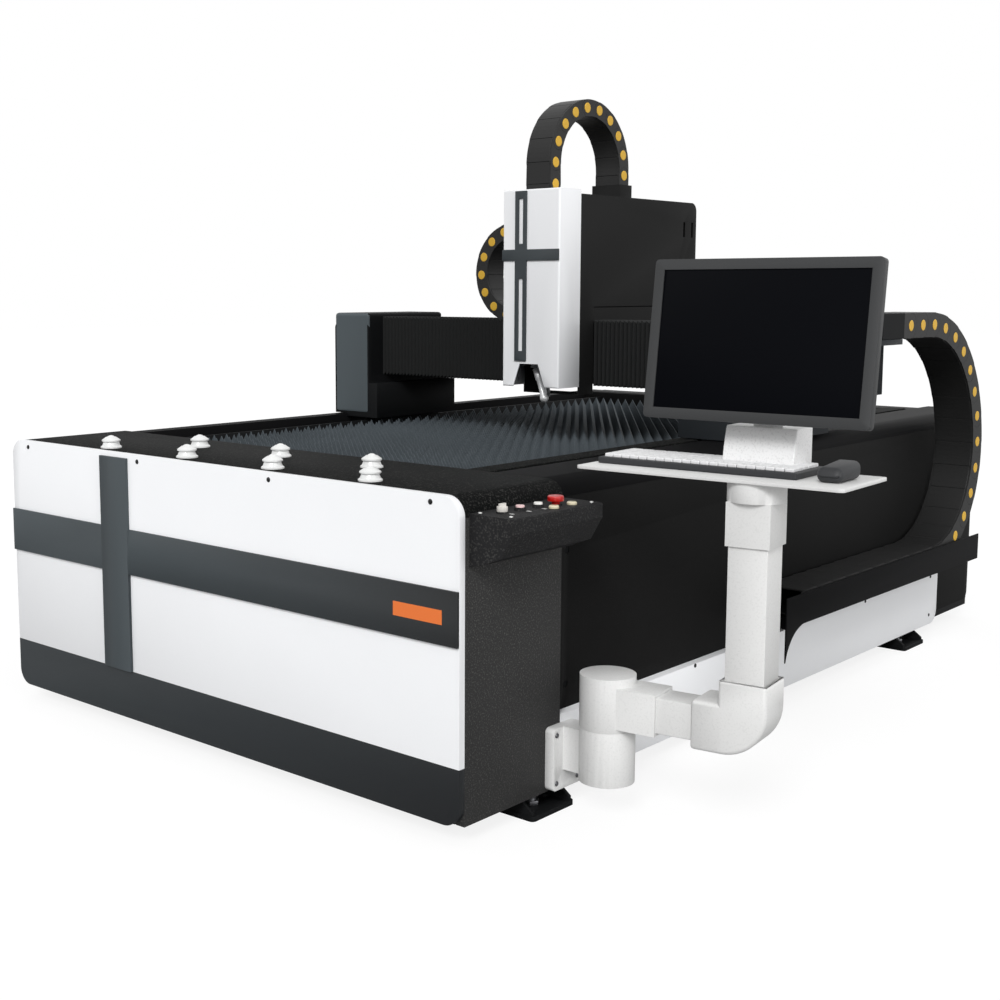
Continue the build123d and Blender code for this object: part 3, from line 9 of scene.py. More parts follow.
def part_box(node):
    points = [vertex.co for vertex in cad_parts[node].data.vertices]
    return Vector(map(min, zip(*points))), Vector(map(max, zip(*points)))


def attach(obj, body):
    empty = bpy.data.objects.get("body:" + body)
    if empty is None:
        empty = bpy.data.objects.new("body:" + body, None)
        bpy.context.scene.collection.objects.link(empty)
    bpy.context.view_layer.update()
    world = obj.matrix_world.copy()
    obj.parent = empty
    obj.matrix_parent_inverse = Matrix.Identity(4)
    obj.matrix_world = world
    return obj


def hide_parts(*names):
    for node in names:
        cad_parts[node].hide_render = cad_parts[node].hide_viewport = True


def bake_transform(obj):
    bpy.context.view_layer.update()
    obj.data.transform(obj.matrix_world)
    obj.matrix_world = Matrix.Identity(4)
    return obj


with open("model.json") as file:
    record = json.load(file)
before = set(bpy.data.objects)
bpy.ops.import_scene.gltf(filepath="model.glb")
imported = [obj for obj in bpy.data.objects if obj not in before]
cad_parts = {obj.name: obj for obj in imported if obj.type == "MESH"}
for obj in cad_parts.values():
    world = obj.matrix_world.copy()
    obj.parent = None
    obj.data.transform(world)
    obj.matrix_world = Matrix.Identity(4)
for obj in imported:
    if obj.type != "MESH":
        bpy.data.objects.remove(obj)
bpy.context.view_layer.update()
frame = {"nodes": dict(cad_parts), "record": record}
nodes = frame["nodes"]
MM = 0.001

# Places that the frame gives: the front face, the underside of the bed and half its width
FRONT_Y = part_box("front_panel")[0].y
BED_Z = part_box("kick_panel")[0].z
HALF_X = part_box("front_panel")[1].x


def linear(level):
    """A display level of 0 to 255 as a linear value."""
    share = level / 255
    return share / 12.92 if share <= 0.04045 else ((share + 0.055) / 1.055) ** 2.4


def paint(red, green, blue):
    """A colour from its three display levels."""
    return (linear(red), linear(green), linear(blue), 1.0)


# Shader groups: what several finishes share
def new_group(name, inputs, outputs):
    """A shader group with its sockets, and its input and output nodes."""
    group = bpy.data.node_groups.new(name, "ShaderNodeTree")
    for label, kind, value in inputs:
        socket = group.interface.new_socket(label, in_out="INPUT", socket_type=kind)
        socket.default_value = value
    for label, kind in outputs:
        group.interface.new_socket(label, in_out="OUTPUT", socket_type=kind)
    return group, group.nodes.new("NodeGroupInput"), group.nodes.new("NodeGroupOutput")


def build_grain_group():
    """Colour, roughness and height of a sprayed or moulded skin: fine grain over slow cloudiness."""
    group, given, result = new_group(
        "skin_grain",
        (
            ("Color", "NodeSocketColor", (0.5, 0.5, 0.5, 1)),
            ("Speck Color", "NodeSocketColor", (0.5, 0.5, 0.5, 1)),
            ("Grain Scale", "NodeSocketFloat", 800.0),
            ("Speck Share", "NodeSocketFloat", 0.3),
            ("Cloudiness", "NodeSocketFloat", 0.1),
            ("Roughness", "NodeSocketFloat", 0.5),
        ),
        (("Color", "NodeSocketColor"), ("Roughness", "NodeSocketFloat"), ("Height", "NodeSocketFloat")),
    )
    links = group.links
    place = group.nodes.new("ShaderNodeTexCoord")
    grain = group.nodes.new("ShaderNodeTexNoise")
    grain.inputs["Detail"].default_value = 3.0
    links.new(place.outputs["Object"], grain.inputs["Vector"])
    links.new(given.outputs["Grain Scale"], grain.inputs["Scale"])
    cloud = group.nodes.new("ShaderNodeTexNoise")
    cloud.inputs["Scale"].default_value = 4.0
    cloud.inputs["Detail"].default_value = 4.0
    links.new(place.outputs["Object"], cloud.inputs["Vector"])
    speck = group.nodes.new("ShaderNodeMapRange")
    speck.inputs["From Min"].default_value = 0.52
    speck.inputs["From Max"].default_value = 0.72
    links.new(grain.outputs["Fac"], speck.inputs["Value"])
    share = group.nodes.new("ShaderNodeMath")
    share.operation = "MULTIPLY"
    links.new(speck.outputs["Result"], share.inputs[0])
    links.new(given.outputs["Speck Share"], share.inputs[1])
    mix = group.nodes.new("ShaderNodeMix")
    mix.data_type = "RGBA"
    links.new(share.outputs["Value"], mix.inputs["Factor"])
    links.new(given.outputs["Color"], mix.inputs["A"])
    links.new(given.outputs["Speck Color"], mix.inputs["B"])
    tone = group.nodes.new("ShaderNodeMapRange")
    links.new(cloud.outputs["Fac"], tone.inputs["Value"])
    tone.inputs["From Min"].default_value = 0.3
    tone.inputs["From Max"].default_value = 0.7
    low = group.nodes.new("ShaderNodeMath")
    low.operation = "SUBTRACT"
    low.inputs[0].default_value = 1.0
    links.new(given.outputs["Cloudiness"], low.inputs[1])
    links.new(low.outputs["Value"], tone.inputs["To Min"])
    tone.inputs["To Max"].default_value = 1.0
    shade = group.nodes.new("ShaderNodeMix")
    shade.data_type = "RGBA"
    shade.blend_type = "MULTIPLY"
    shade.inputs["Factor"].default_value = 1.0
    links.new(mix.outputs["Result"], shade.inputs["A"])
    links.new(tone.outputs["Result"], shade.inputs["B"])
    links.new(shade.outputs["Result"], result.inputs["Color"])
    rough = group.nodes.new("ShaderNodeMath")
    rough.operation = "MULTIPLY_ADD"
    links.new(grain.outputs["Fac"], rough.inputs[0])
    rough.inputs[1].default_value = 0.12
    links.new(given.outputs["Roughness"], rough.inputs[2])
    links.new(rough.outputs["Value"], result.inputs["Roughness"])
    links.new(grain.outputs["Fac"], result.inputs["Height"])
    return group


def build_painted_sheen_group():
    """Painted sheen: a colour that turns from a lighter one on the left to a darker one on the right
    across the machine's width.
    """
    group, given, result = new_group(
        "painted_sheen_across_width",
        (
            ("Sheen Left Color", "NodeSocketColor", (0.5, 0.5, 0.5, 1)),
            ("Sheen Right Color", "NodeSocketColor", (0.5, 0.5, 0.5, 1)),
        ),
        (("Color", "NodeSocketColor"),),
    )
    links = group.links
    place = group.nodes.new("ShaderNodeTexCoord")
    split = group.nodes.new("ShaderNodeSeparateXYZ")
    links.new(place.outputs["Object"], split.inputs["Vector"])
    share = group.nodes.new("ShaderNodeMapRange")
    share.inputs["From Min"].default_value = -HALF_X
    share.inputs["From Max"].default_value = HALF_X
    links.new(split.outputs["X"], share.inputs["Value"])
    mix = group.nodes.new("ShaderNodeMix")
    mix.data_type = "RGBA"
    links.new(share.outputs["Result"], mix.inputs["Factor"])
    links.new(given.outputs["Sheen Left Color"], mix.inputs["A"])
    links.new(given.outputs["Sheen Right Color"], mix.inputs["B"])
    links.new(mix.outputs["Result"], result.inputs["Color"])
    return group


GRAIN = build_grain_group()
# Painted sheen across the width: lighter on the left, darker on the right, put into the colour itself
PAINTED_SHEEN = build_painted_sheen_group()


FINISHES = {}


def finish(
    name, color, speck=None, scale=800.0, share=0.25, cloud=0.08, rough=0.45, depth=0.05,
    metal=0.0, coat=0.0, shine=0.5, painted_sheen_right_color=None,
):
    """With a right colour given, the colour turns to that one towards the right side of the machine: a
    painted sheen, lighter on the left and darker on the right.

    With painted_sheen_right_color, the colour drifts to that one towards the right side of the machine.
    """
    material = bpy.data.materials.new(name)
    material.use_nodes = True
    tree = material.node_tree
    shader = tree.nodes["Principled BSDF"]
    grain = tree.nodes.new("ShaderNodeGroup")
    grain.node_tree = GRAIN
    grain.inputs["Color"].default_value = color
    grain.inputs["Speck Color"].default_value = speck or color
    grain.inputs["Grain Scale"].default_value = scale
    grain.inputs["Speck Share"].default_value = share
    grain.inputs["Cloudiness"].default_value = cloud
    grain.inputs["Roughness"].default_value = rough
    # Painted sheen: the colour darkens towards the right side of the machine
    if painted_sheen_right_color:
        painted_sheen = tree.nodes.new("ShaderNodeGroup")
        painted_sheen.node_tree = PAINTED_SHEEN
        painted_sheen.inputs["Sheen Left Color"].default_value = color
        painted_sheen.inputs["Sheen Right Color"].default_value = painted_sheen_right_color
        tree.links.new(painted_sheen.outputs["Color"], grain.inputs["Color"])
    tree.links.new(grain.outputs["Color"], shader.inputs["Base Color"])
    tree.links.new(grain.outputs["Roughness"], shader.inputs["Roughness"])
    bump = tree.nodes.new("ShaderNodeBump")
    bump.inputs["Strength"].default_value = depth
    bump.inputs["Distance"].default_value = 0.001
    tree.links.new(grain.outputs["Height"], bump.inputs["Height"])
    tree.links.new(bump.outputs["Normal"], shader.inputs["Normal"])
    shader.inputs["Metallic"].default_value = metal
    shader.inputs["Coat Weight"].default_value = coat
    shader.inputs["Specular IOR Level"].default_value = shine
    shader.inputs["Coat Roughness"].default_value = 0.15
    FINISHES[name] = material


WHITE = paint(240, 241, 243)
WHITE_GRAIN = paint(226, 228, 231)

finish(
    "panel_white", WHITE, speck=WHITE_GRAIN, scale=1500, share=0.3, cloud=0.02, rough=0.35,
    depth=0.02, shine=0.3,
)
# Painted sheen: darker towards the right side of the machine
finish(
    "dark_blue_grey", paint(56, 61, 64), speck=paint(58, 62, 66), scale=900, share=0.15, cloud=0.06,
    rough=0.4, depth=0.03, shine=0.2, painted_sheen_right_color=paint(32, 34, 36),
)
# Painted sheen: darker towards the right side of the machine
finish(
    "blue_grey", paint(78, 86, 90), speck=paint(78, 84, 90), scale=900, share=0.15, cloud=0.06,
    rough=0.4, depth=0.03, shine=0.2, painted_sheen_right_color=paint(38, 39, 40),
)
finish(
    "grained_black", paint(44, 44, 44), speck=paint(104, 103, 100), scale=300, share=0.5, cloud=0.1,
    rough=0.5, depth=0.6, shine=0.2,
)
finish(
    "deck_black", paint(18, 19, 19), speck=paint(88, 87, 85), scale=240, share=0.4, cloud=0.1,
    rough=0.6, depth=0.7, shine=0.02,
)
finish(
    "console_black", paint(38, 38, 39), speck=paint(92, 91, 89), scale=280, share=0.45, cloud=0.1,
    rough=0.55, depth=0.6, shine=0.06,
)
finish(
    "side_black", paint(22, 22, 22), speck=paint(40, 40, 40), scale=320, share=0.35, cloud=0.12,
    rough=0.5, depth=0.2, shine=0.06,
)
finish(
    "smooth_black", paint(17, 17, 18), speck=paint(28, 28, 28), scale=700, share=0.3, cloud=0.1,
    rough=0.5, depth=0.05, shine=0.04,
)
finish(
    "frame_black", paint(20, 21, 22), speck=paint(36, 37, 39), scale=500, share=0.3, cloud=0.1,
    rough=0.5, depth=0.1, shine=0.08,
)
finish(
    "housing_black", paint(34, 37, 40), speck=paint(46, 50, 53), scale=700, share=0.3, cloud=0.08,
    rough=0.42, depth=0.05, shine=0.15,
)
finish(
    "slat_steel", paint(78, 85, 90), speck=paint(104, 110, 115), scale=300, share=0.4, cloud=0.2,
    rough=0.45, depth=0.1, shine=0.3,
)
finish(
    "bolt_steel", paint(112, 113, 116), speck=paint(146, 147, 149), scale=900, share=0.4, cloud=0.1,
    rough=0.32, depth=0.05, metal=0.9,
)
finish(
    "caster_white", paint(226, 227, 226), scale=900, share=0.1, cloud=0.03, rough=0.22, depth=0.01,
    metal=0.0, coat=0.4,
)
finish(
    "lamp_cream", paint(214, 205, 176), scale=900, share=0.1, cloud=0.03, rough=0.2, depth=0.01,
    metal=0.0, coat=0.5,
)
finish(
    "chain_black", paint(30, 30, 30), speck=paint(48, 48, 47), scale=700, share=0.3, cloud=0.12,
    rough=0.42, depth=0.08, shine=0.3,
)
finish(
    "chain_gold", paint(214, 168, 42), speck=paint(232, 196, 92), scale=700, share=0.3, cloud=0.08,
    rough=0.4, depth=0.05,
)
finish(
    "arm_white", paint(224, 224, 223), speck=paint(200, 200, 199), scale=260, share=0.35,
    cloud=0.05, rough=0.42, depth=0.15,
)
finish(
    "bellows_black", paint(28, 29, 29), speck=paint(42, 42, 42), scale=900, share=0.3, cloud=0.1,
    rough=0.55, depth=0.1, shine=0.12,
)
finish(
    "satin_black", paint(26, 26, 26), speck=paint(36, 36, 36), scale=500, share=0.35, cloud=0.06,
    rough=0.5, depth=0.12, shine=0.1,
)
finish(
    "head_aluminium", paint(150, 152, 154), speck=paint(176, 177, 178), scale=900, share=0.4,
    cloud=0.15, rough=0.32, depth=0.06, metal=0.8,
)
finish(
    "nozzle_steel", paint(206, 207, 208), speck=paint(150, 151, 152), scale=400, share=0.4,
    cloud=0.1, rough=0.3, depth=0.05, metal=0.35,
)
finish(
    "keyboard_black", paint(48, 49, 51), speck=paint(60, 61, 63), scale=900, share=0.3, cloud=0.04,
    rough=0.45, depth=0.05, shine=0.3,
)
finish("key_cap", paint(232, 232, 233), scale=1800, share=0.1, cloud=0.03, rough=0.4, depth=0.02)
finish(
    "stand_white", paint(246, 246, 246), speck=paint(206, 206, 206), scale=260, share=0.5,
    cloud=0.05, rough=0.45, depth=0.15,
)
finish(
    "monitor_grey", paint(58, 59, 60), speck=paint(70, 71, 72), scale=900, share=0.3, cloud=0.04,
    rough=0.42, depth=0.05, shine=0.25,
)
finish(
    "screen_black", paint(6, 7, 11), scale=1500, share=0.0, cloud=0.03, rough=0.25, depth=0.0,
    shine=0.04,
)
finish("key_white", paint(216, 212, 206), scale=1200, share=0.1, cloud=0.04, rough=0.3, depth=0.02)
finish(
    "button_pink", paint(232, 198, 198), scale=1200, share=0.1, cloud=0.04, rough=0.3, depth=0.02,
    metal=0.0, coat=0.3,
)
finish(
    "button_white", paint(235, 234, 230), scale=1200, share=0.1, cloud=0.03, rough=0.3, depth=0.02,
    metal=0.0, coat=0.3,
)
finish(
    "stop_red", paint(186, 16, 12), scale=1200, share=0.1, cloud=0.06, rough=0.25, depth=0.02,
    metal=0.0, coat=0.5,
)
finish("tag_orange", paint(232, 118, 50), scale=1200, share=0.1, cloud=0.03, rough=0.35, depth=0.01)
finish(
    "screw_dark", paint(24, 24, 25), speck=paint(50, 50, 50), scale=1500, share=0.3, cloud=0.1,
    rough=0.35, depth=0.05, metal=0.5,
)
finish(
    "screw_bright", paint(206, 206, 204), scale=1500, share=0.2, cloud=0.1, rough=0.3, depth=0.05,
    metal=0.4,
)
finish("strip_light", paint(238, 238, 240), scale=1500, share=0.1, cloud=0.02, rough=0.3, depth=0.01)
# Nodes whose finish differs from the rest of their kind
OWN_FINISH = {
    "side_skins": "side_black", "rear_panel": "side_black", "right_rail_cover": "smooth_black",
    "front_deck": "deck_black", "pit_ledge": "deck_black", "console_housing": "console_black",
    "left_end_housing": "frame_black", "left_rail_cover": "smooth_black",
    "chain_trough": "smooth_black", "right_end_housing": "housing_black",
}
SLOT_OF = {row["node"]: row["material_slot"] for row in frame["record"]["subparts"]}

# Widths of the broken edges on the solids, in millimetres
EDGE_WIDTH = {
    "front_panel": 3.0, "kick_panel": 3.0, "front_deck": 2.0, "arm_base": 4.0, "arm_shoulder": 5.0,
    "arm_elbow": 8.0, "arm_tube": 4.0, "arm_column": 4.0, "column_sleeve": 3.0, "monitor_housing": 3.0,
    "head_cover": 2.0, "console_housing": 3.0, "monitor_stand": 3.0, "left_end_housing": 4.0,
    "right_end_housing": 4.0, "tray": 1.5,
}
PLAIN_EDGE = 1.0


def dress_solids():
    """Gives every solid its finish, welded faces and a narrow rounded edge."""
    for name, solid in nodes.items():
        solid.data.materials.clear()
        solid.data.materials.append(FINISHES[OWN_FINISH.get(name, SLOT_OF[name])])
        solid.data.polygons.foreach_set("use_smooth", [True] * len(solid.data.polygons))
        weld = solid.modifiers.new("joined_faces", "WELD")
        weld.merge_threshold = 0.01 * MM
        edge = solid.modifiers.new("broken_edge", "BEVEL")
        edge.width = EDGE_WIDTH.get(name, PLAIN_EDGE) * MM
        edge.segments = 2
        edge.limit_method = "ANGLE"
        edge.angle_limit = math.radians(35)
        edge.harden_normals = True


dress_solids()


# Pieces
def make_piece(name, mesh, materials, body, stands_for=(), smooth=True):
    """Turns a finished bmesh into an object of the scene that rides on a body."""
    bmesh.ops.recalc_face_normals(mesh, faces=mesh.faces)
    data = bpy.data.meshes.new(name)
    mesh.to_mesh(data)
    mesh.free()
    for material in materials:
        data.materials.append(FINISHES[material])
    piece = bpy.data.objects.new(name, data)
    bpy.context.scene.collection.objects.link(piece)
    if smooth:
        data.polygons.foreach_set("use_smooth", [True] * len(data.polygons))
    if stands_for:
        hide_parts(*stands_for)
    if body:
        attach(piece, body)
    return piece


def add_box(mesh, low, high, bevel=0.0, index=0, segments=2, place=None):
    """A box between two corners with rounded edges, turned and moved by place."""
    size = Vector(high) - Vector(low)
    middle = (Vector(high) + Vector(low)) / 2
    known = set(mesh.faces)
    made = bmesh.ops.create_cube(mesh, size=1.0)
    bmesh.ops.scale(mesh, vec=size, verts=made["verts"])
    bmesh.ops.translate(mesh, vec=middle, verts=made["verts"])
    if bevel:
        edges = list({edge for vert in made["verts"] for edge in vert.link_edges})
        bmesh.ops.bevel(
            mesh, geom=edges, offset=bevel, offset_type="OFFSET", segments=segments, profile=0.5,
            affect="EDGES", material=-1, clamp_overlap=True,
        )
    faces = [face for face in mesh.faces if face not in known]
    verts = list({vert for face in faces for vert in face.verts})
    for face in faces:
        face.material_index = index
    if place is not None:
        bmesh.ops.transform(mesh, matrix=place, verts=verts)
    return verts


def add_turned(mesh, profile, place, steps=32, index=0):
    """A turned shape: (radius, height) points spun about the local z axis."""
    before = set(mesh.faces)
    verts = [mesh.verts.new((radius, 0, height)) for radius, height in profile]
    edges = [mesh.edges.new(pair) for pair in zip(verts, verts[1:])]
    spun = bmesh.ops.spin(
        mesh, geom=verts + edges, cent=(0, 0, 0), axis=(0, 0, 1), angle=math.tau, steps=steps,
        use_merge=True,
    )
    faces = [face for face in mesh.faces if face not in before]
    ring = list({vert for face in faces for vert in face.verts})
    bmesh.ops.remove_doubles(mesh, verts=ring, dist=0.01 * MM)
    faces = [face for face in mesh.faces if face not in before]
    ring = list({vert for face in faces for vert in face.verts})
    for face in faces:
        face.material_index = index
    bmesh.ops.transform(mesh, matrix=place, verts=ring)
    return ring


def front_place(x, z, y=0.0):
    """A place on the front face from millimetres off the centre line and above the bed's underside."""
    return Vector((x * MM, FRONT_Y + y * MM, BED_Z + z * MM))


# Slats: closer and finer toothed than the solids, in the same pit
SLAT_PITCH = 44 * MM
TOOTH_PITCH = 32 * MM
TOOTH_HEIGHT = 26 * MM
SLAT_THICKNESS = 2 * MM


def build_slats():
    """Rows of toothed sheets across the pit."""
    low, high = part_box("slats")
    count = int((high.y - low.y) / SLAT_PITCH)
    teeth = int((high.x - low.x) / TOOTH_PITCH)
    side_gap = ((high.x - low.x) - teeth * TOOTH_PITCH) / 2
    mesh = bmesh.new()
    rim = [mesh.verts.new((low.x, 0, low.z)), mesh.verts.new((low.x, 0, high.z - TOOTH_HEIGHT))]
    for i in range(teeth):
        start = low.x + side_gap + i * TOOTH_PITCH
        rim.append(mesh.verts.new((start, 0, high.z - TOOTH_HEIGHT)))
        rim.append(mesh.verts.new((start + TOOTH_PITCH * 0.5, 0, high.z)))
    rim.append(mesh.verts.new((high.x - side_gap, 0, high.z - TOOTH_HEIGHT)))
    rim.append(mesh.verts.new((high.x, 0, high.z - TOOTH_HEIGHT)))
    rim.append(mesh.verts.new((high.x, 0, low.z)))
    sheet = mesh.faces.new(rim)
    lifted = bmesh.ops.extrude_face_region(mesh, geom=[sheet])
    moved = [item for item in lifted["geom"] if isinstance(item, bmesh.types.BMVert)]
    bmesh.ops.translate(mesh, vec=(0, SLAT_THICKNESS, 0), verts=moved)
    first = list(mesh.verts) + list(mesh.edges) + list(mesh.faces)
    start = (low.y + high.y - count * SLAT_PITCH) / 2
    for i in range(1, count + 1):
        copy = bmesh.ops.duplicate(mesh, geom=first)
        verts = [item for item in copy["geom"] if isinstance(item, bmesh.types.BMVert)]
        bmesh.ops.translate(mesh, vec=(0, i * SLAT_PITCH, 0), verts=verts)
    bmesh.ops.translate(mesh, vec=(0, start - SLAT_THICKNESS / 2, 0), verts=mesh.verts)
    make_piece("slat_sheets", mesh, ["slat_steel"], "bed", ("slats",), smooth=False)


build_slats()


# Bellows: fine pleats from each end housing to the carriage
PLEAT_PITCH = 13.6 * MM
PLEAT_FOLD = 7 * MM
RUN_PARTS = 8


def blend_run(piece, near_body, far_body, near, far, low, high):
    """Bakes the run's place into its mesh; the bodies, ends and shares it is given are not used."""
    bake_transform(piece)


def build_bellows(node, name, fixed_x, moving_x):
    """A pleated tube in several parts, each with its own share of the pleats."""
    low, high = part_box(node)
    pleats = int(abs(moving_x - fixed_x) / PLEAT_PITCH)
    for part in range(RUN_PARTS):
        first = round(pleats * part / RUN_PARTS)
        last = round(pleats * (part + 1) / RUN_PARTS)
        step = (moving_x - fixed_x) / pleats
        mesh = bmesh.new()
        corners = [(low.y, low.z), (low.y, high.z), (high.y, high.z), (high.y, low.z)]
        ring = [mesh.verts.new((fixed_x + first * step, y, z)) for y, z in corners]
        loop = [mesh.edges.new((ring[i], ring[(i + 1) % 4])) for i in range(4)]
        middle = Vector((0, (low.y + high.y) / 2, (low.z + high.z) / 2))
        shrink = (1 - 2 * PLEAT_FOLD / (high.y - low.y), 1 - 2 * PLEAT_FOLD / (high.z - low.z))
        for half in range(2 * (last - first)):
            grown = bmesh.ops.extrude_edge_only(mesh, edges=loop)
            verts = [item for item in grown["geom"] if isinstance(item, bmesh.types.BMVert)]
            loop = [item for item in grown["geom"] if isinstance(item, bmesh.types.BMEdge)]
            loop = [edge for edge in loop if all(vert in verts for vert in edge.verts)]
            bmesh.ops.translate(mesh, vec=(step / 2, 0, 0), verts=verts)
            inward = half % 2 == 0
            factor = Vector((1, *shrink)) if inward else Vector((1, 1 / shrink[0], 1 / shrink[1]))
            bmesh.ops.scale(mesh, vec=factor, space=Matrix.Translation(-middle), verts=verts)
        replaced = (node,) if part == 0 else ()
        piece = make_piece(
            f"{name}_{part + 1}", mesh, ["bellows_black"], None, replaced, False
        )
        ends = [Vector((fixed_x + edge * step, 0, 0)) for edge in (first, last)]
        blend_run(piece, "gantry", "carriage", *ends, first / pleats, last / pleats)


left_low, left_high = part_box("bellows_left")
right_low, right_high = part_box("bellows_right")
build_bellows("bellows_left", "left_bellows", left_low.x, left_high.x)
build_bellows("bellows_right", "right_bellows", right_high.x, right_low.x)


# Energy chains: links along a route of lines and arcs, with a coloured pin cover at each joint
PIN_COVER = 1.0 * MM
LINK_GAP = 0.6 * MM
LID_THICKNESS = 4.0 * MM
HORN_ANGLE = 72
ARC_STEPS = 10
PROBE = 2 * MM


class Route:
    """A plane path of straight and round stretches, walked by distance."""

    def __init__(self, origin, along, outward):
        self.stretches = []
        self.origin = Vector(origin)
        self.along = Vector(along)
        self.outward = Vector(outward)

    def line(self, start, end):
        """Adds a straight stretch."""
        length = math.dist(start, end)
        self.stretches.append((length, lambda d: [a + (b - a) * d / length for a, b in zip(start, end)]))

    def arc(self, centre, radius, start, sweep):
        """Adds a round stretch from a start angle through a sweep, both in degrees."""
        length = abs(math.radians(sweep)) * radius

        def point(distance):
            angle = math.radians(start + sweep * distance / length)
            return [centre[0] + radius * math.cos(angle), centre[1] + radius * math.sin(angle)]

        self.stretches.append((length, point))

    def point(self, distance):
        """The place at a distance along the path."""
        for length, place in self.stretches[:-1]:
            if distance <= length:
                break
            distance -= length
        else:
            place = self.stretches[-1][1]
        u, v = place(distance)
        return self.origin + self.along * u + self.outward * v


def add_link_plate(mesh, pitch, height, low, high):
    """One side plate: a round front end that turns in the hollow rear end of the next plate."""
    radius = height / 2
    rim = []
    for i in range(ARC_STEPS + 1):
        angle = math.radians(-90 + 180 * i / ARC_STEPS)
        rim.append((pitch / 2 + radius * math.cos(angle) - LINK_GAP, radius * math.sin(angle)))
    for i in range(ARC_STEPS + 1):
        angle = math.radians(HORN_ANGLE - 2 * HORN_ANGLE * i / ARC_STEPS)
        rim.append((radius * math.cos(angle) - pitch / 2, radius * math.sin(angle)))
    face = mesh.faces.new([mesh.verts.new((x, y, low)) for x, y in rim])
    lifted = bmesh.ops.extrude_face_region(mesh, geom=[face])
    verts = [item for item in lifted["geom"] if isinstance(item, bmesh.types.BMVert)]
    bmesh.ops.translate(mesh, vec=(0, 0, high - low), verts=verts)


def link_mesh(pitch, width, height, pin, bend_out):
    """A link along its own x, with its outer lid on the side that bends outwards."""
    mesh = bmesh.new()
    plate = 5 * MM
    half = width / 2 - PIN_COVER
    add_link_plate(mesh, pitch, height, -half, plate - half)
    add_link_plate(mesh, pitch, height, half - plate, half)
    inside = half - plate
    outer = sorted((bend_out * (height / 2 - LID_THICKNESS), bend_out * height / 2))
    inner = sorted((-bend_out * height / 2, -bend_out * (height / 2 - LID_THICKNESS)))
    reach = pitch / 2 - LINK_GAP / 2
    add_box(mesh, (-reach, outer[0], -inside), (reach, outer[1], inside), 1 * MM)
    add_box(mesh, (-reach, inner[0], -inside), (reach, inner[1], inside), 1 * MM)
    for share in (-0.3, -0.1, 0.1, 0.3):
        everything = list(mesh.verts) + list(mesh.edges) + list(mesh.faces)
        bmesh.ops.bisect_plane(mesh, geom=everything, plane_co=(share * pitch, 0, 0), plane_no=(1, 0, 0))
    for side in (-1, 1):
        over = Matrix.Rotation(math.pi if side < 0 else 0, 4, "X")
        turn = Matrix.Translation((pitch / 2, 0, side * half)) @ over
        profile = [(0, PIN_COVER), (pin * 0.44, PIN_COVER), (pin * 0.5, PIN_COVER * 0.4), (pin * 0.5, 0)]
        add_turned(mesh, profile, turn, 24, 1)
    return mesh


def build_chain(name, node, route, pitch, width, height, pin, bend_out, parts):
    """Sets links along a route, in parts.

    A part gives its first link, the link after its last one, and two points, which are not used.
    """
    link = link_mesh(pitch, width, height, pin, bend_out)
    pattern = bpy.data.meshes.new(name + "_link")
    link.to_mesh(pattern)
    link.free()
    side = route.along.cross(route.outward)
    for number, (first, last, start, end) in enumerate(parts, start=1):
        mesh = bmesh.new()
        for i in range(first, last):
            known = len(mesh.verts)
            mesh.from_mesh(pattern)
            mesh.verts.ensure_lookup_table()
            for vert in mesh.verts[known:]:
                distance = (i + 0.5) * pitch + vert.co.x
                spot = route.point(distance)
                forward = (route.point(distance + PROBE) - route.point(distance - PROBE)).normalized()
                vert.co = spot + side.cross(forward) * vert.co.y + side * vert.co.z
        replaced = (node,) if number == 1 else ()
        piece = make_piece(
            f"{name}_{number}", mesh, ["chain_black", "chain_gold"], None, replaced, False
        )
        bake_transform(piece)
    bpy.data.meshes.remove(pattern)


# A length given with the chains' middle parts, on each side of a loop's place
FAR = 400.0
# Spare route past the last link, so that its end has a direction
SPARE = 0.5
# From the right end housing's rear face forward to the long chain's moving end
CLAMP_INSET = 181 * MM
# From the top of a chain's bend to the top of its box
BEND_RELIEF = 0.2 * MM


def build_long_chain():
    """The chain from the trough beside the bed up to the gantry."""
    pitch, height, upper_radius, lower_radius = 78 * MM, 68 * MM, 368 * MM, 295 * MM
    low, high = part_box("long_chain")
    width = high.x - low.x
    upper = high.z - height / 2
    lower = low.z + height / 2
    centre_y = high.y - height / 2 - upper_radius + BEND_RELIEF
    start_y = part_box("right_end_housing")[1].y - CLAMP_INSET
    route = Route(((low.x + high.x) / 2, 0, 0), (0, 1, 0), (0, 0, 1))
    route.line((start_y, upper), (centre_y, upper))
    route.arc((centre_y, upper - upper_radius), upper_radius, 90, -90)
    shift = upper_radius - lower_radius
    route.arc((centre_y + shift, upper - upper_radius), lower_radius, 0, -90)
    route.line((centre_y + shift, lower), (low.y - SPARE, lower))
    loop_in = Vector((0, centre_y, 0))
    bracket = Vector((0, start_y, 0))
    bottom = Vector((0, centre_y + shift, 0))
    fixed = Vector((0, low.y, 0))
    far = Vector((0, FAR, 0))
    build_chain(
        "long_chain_links", "long_chain", route, pitch, width, height, 29 * MM, 1,
        (
            (0, 3, loop_in * 2 - bracket, bracket),
            (3, 17, loop_in - far, loop_in + far),
            (17, 26, fixed, bottom * 2 - fixed),
        ),
    )


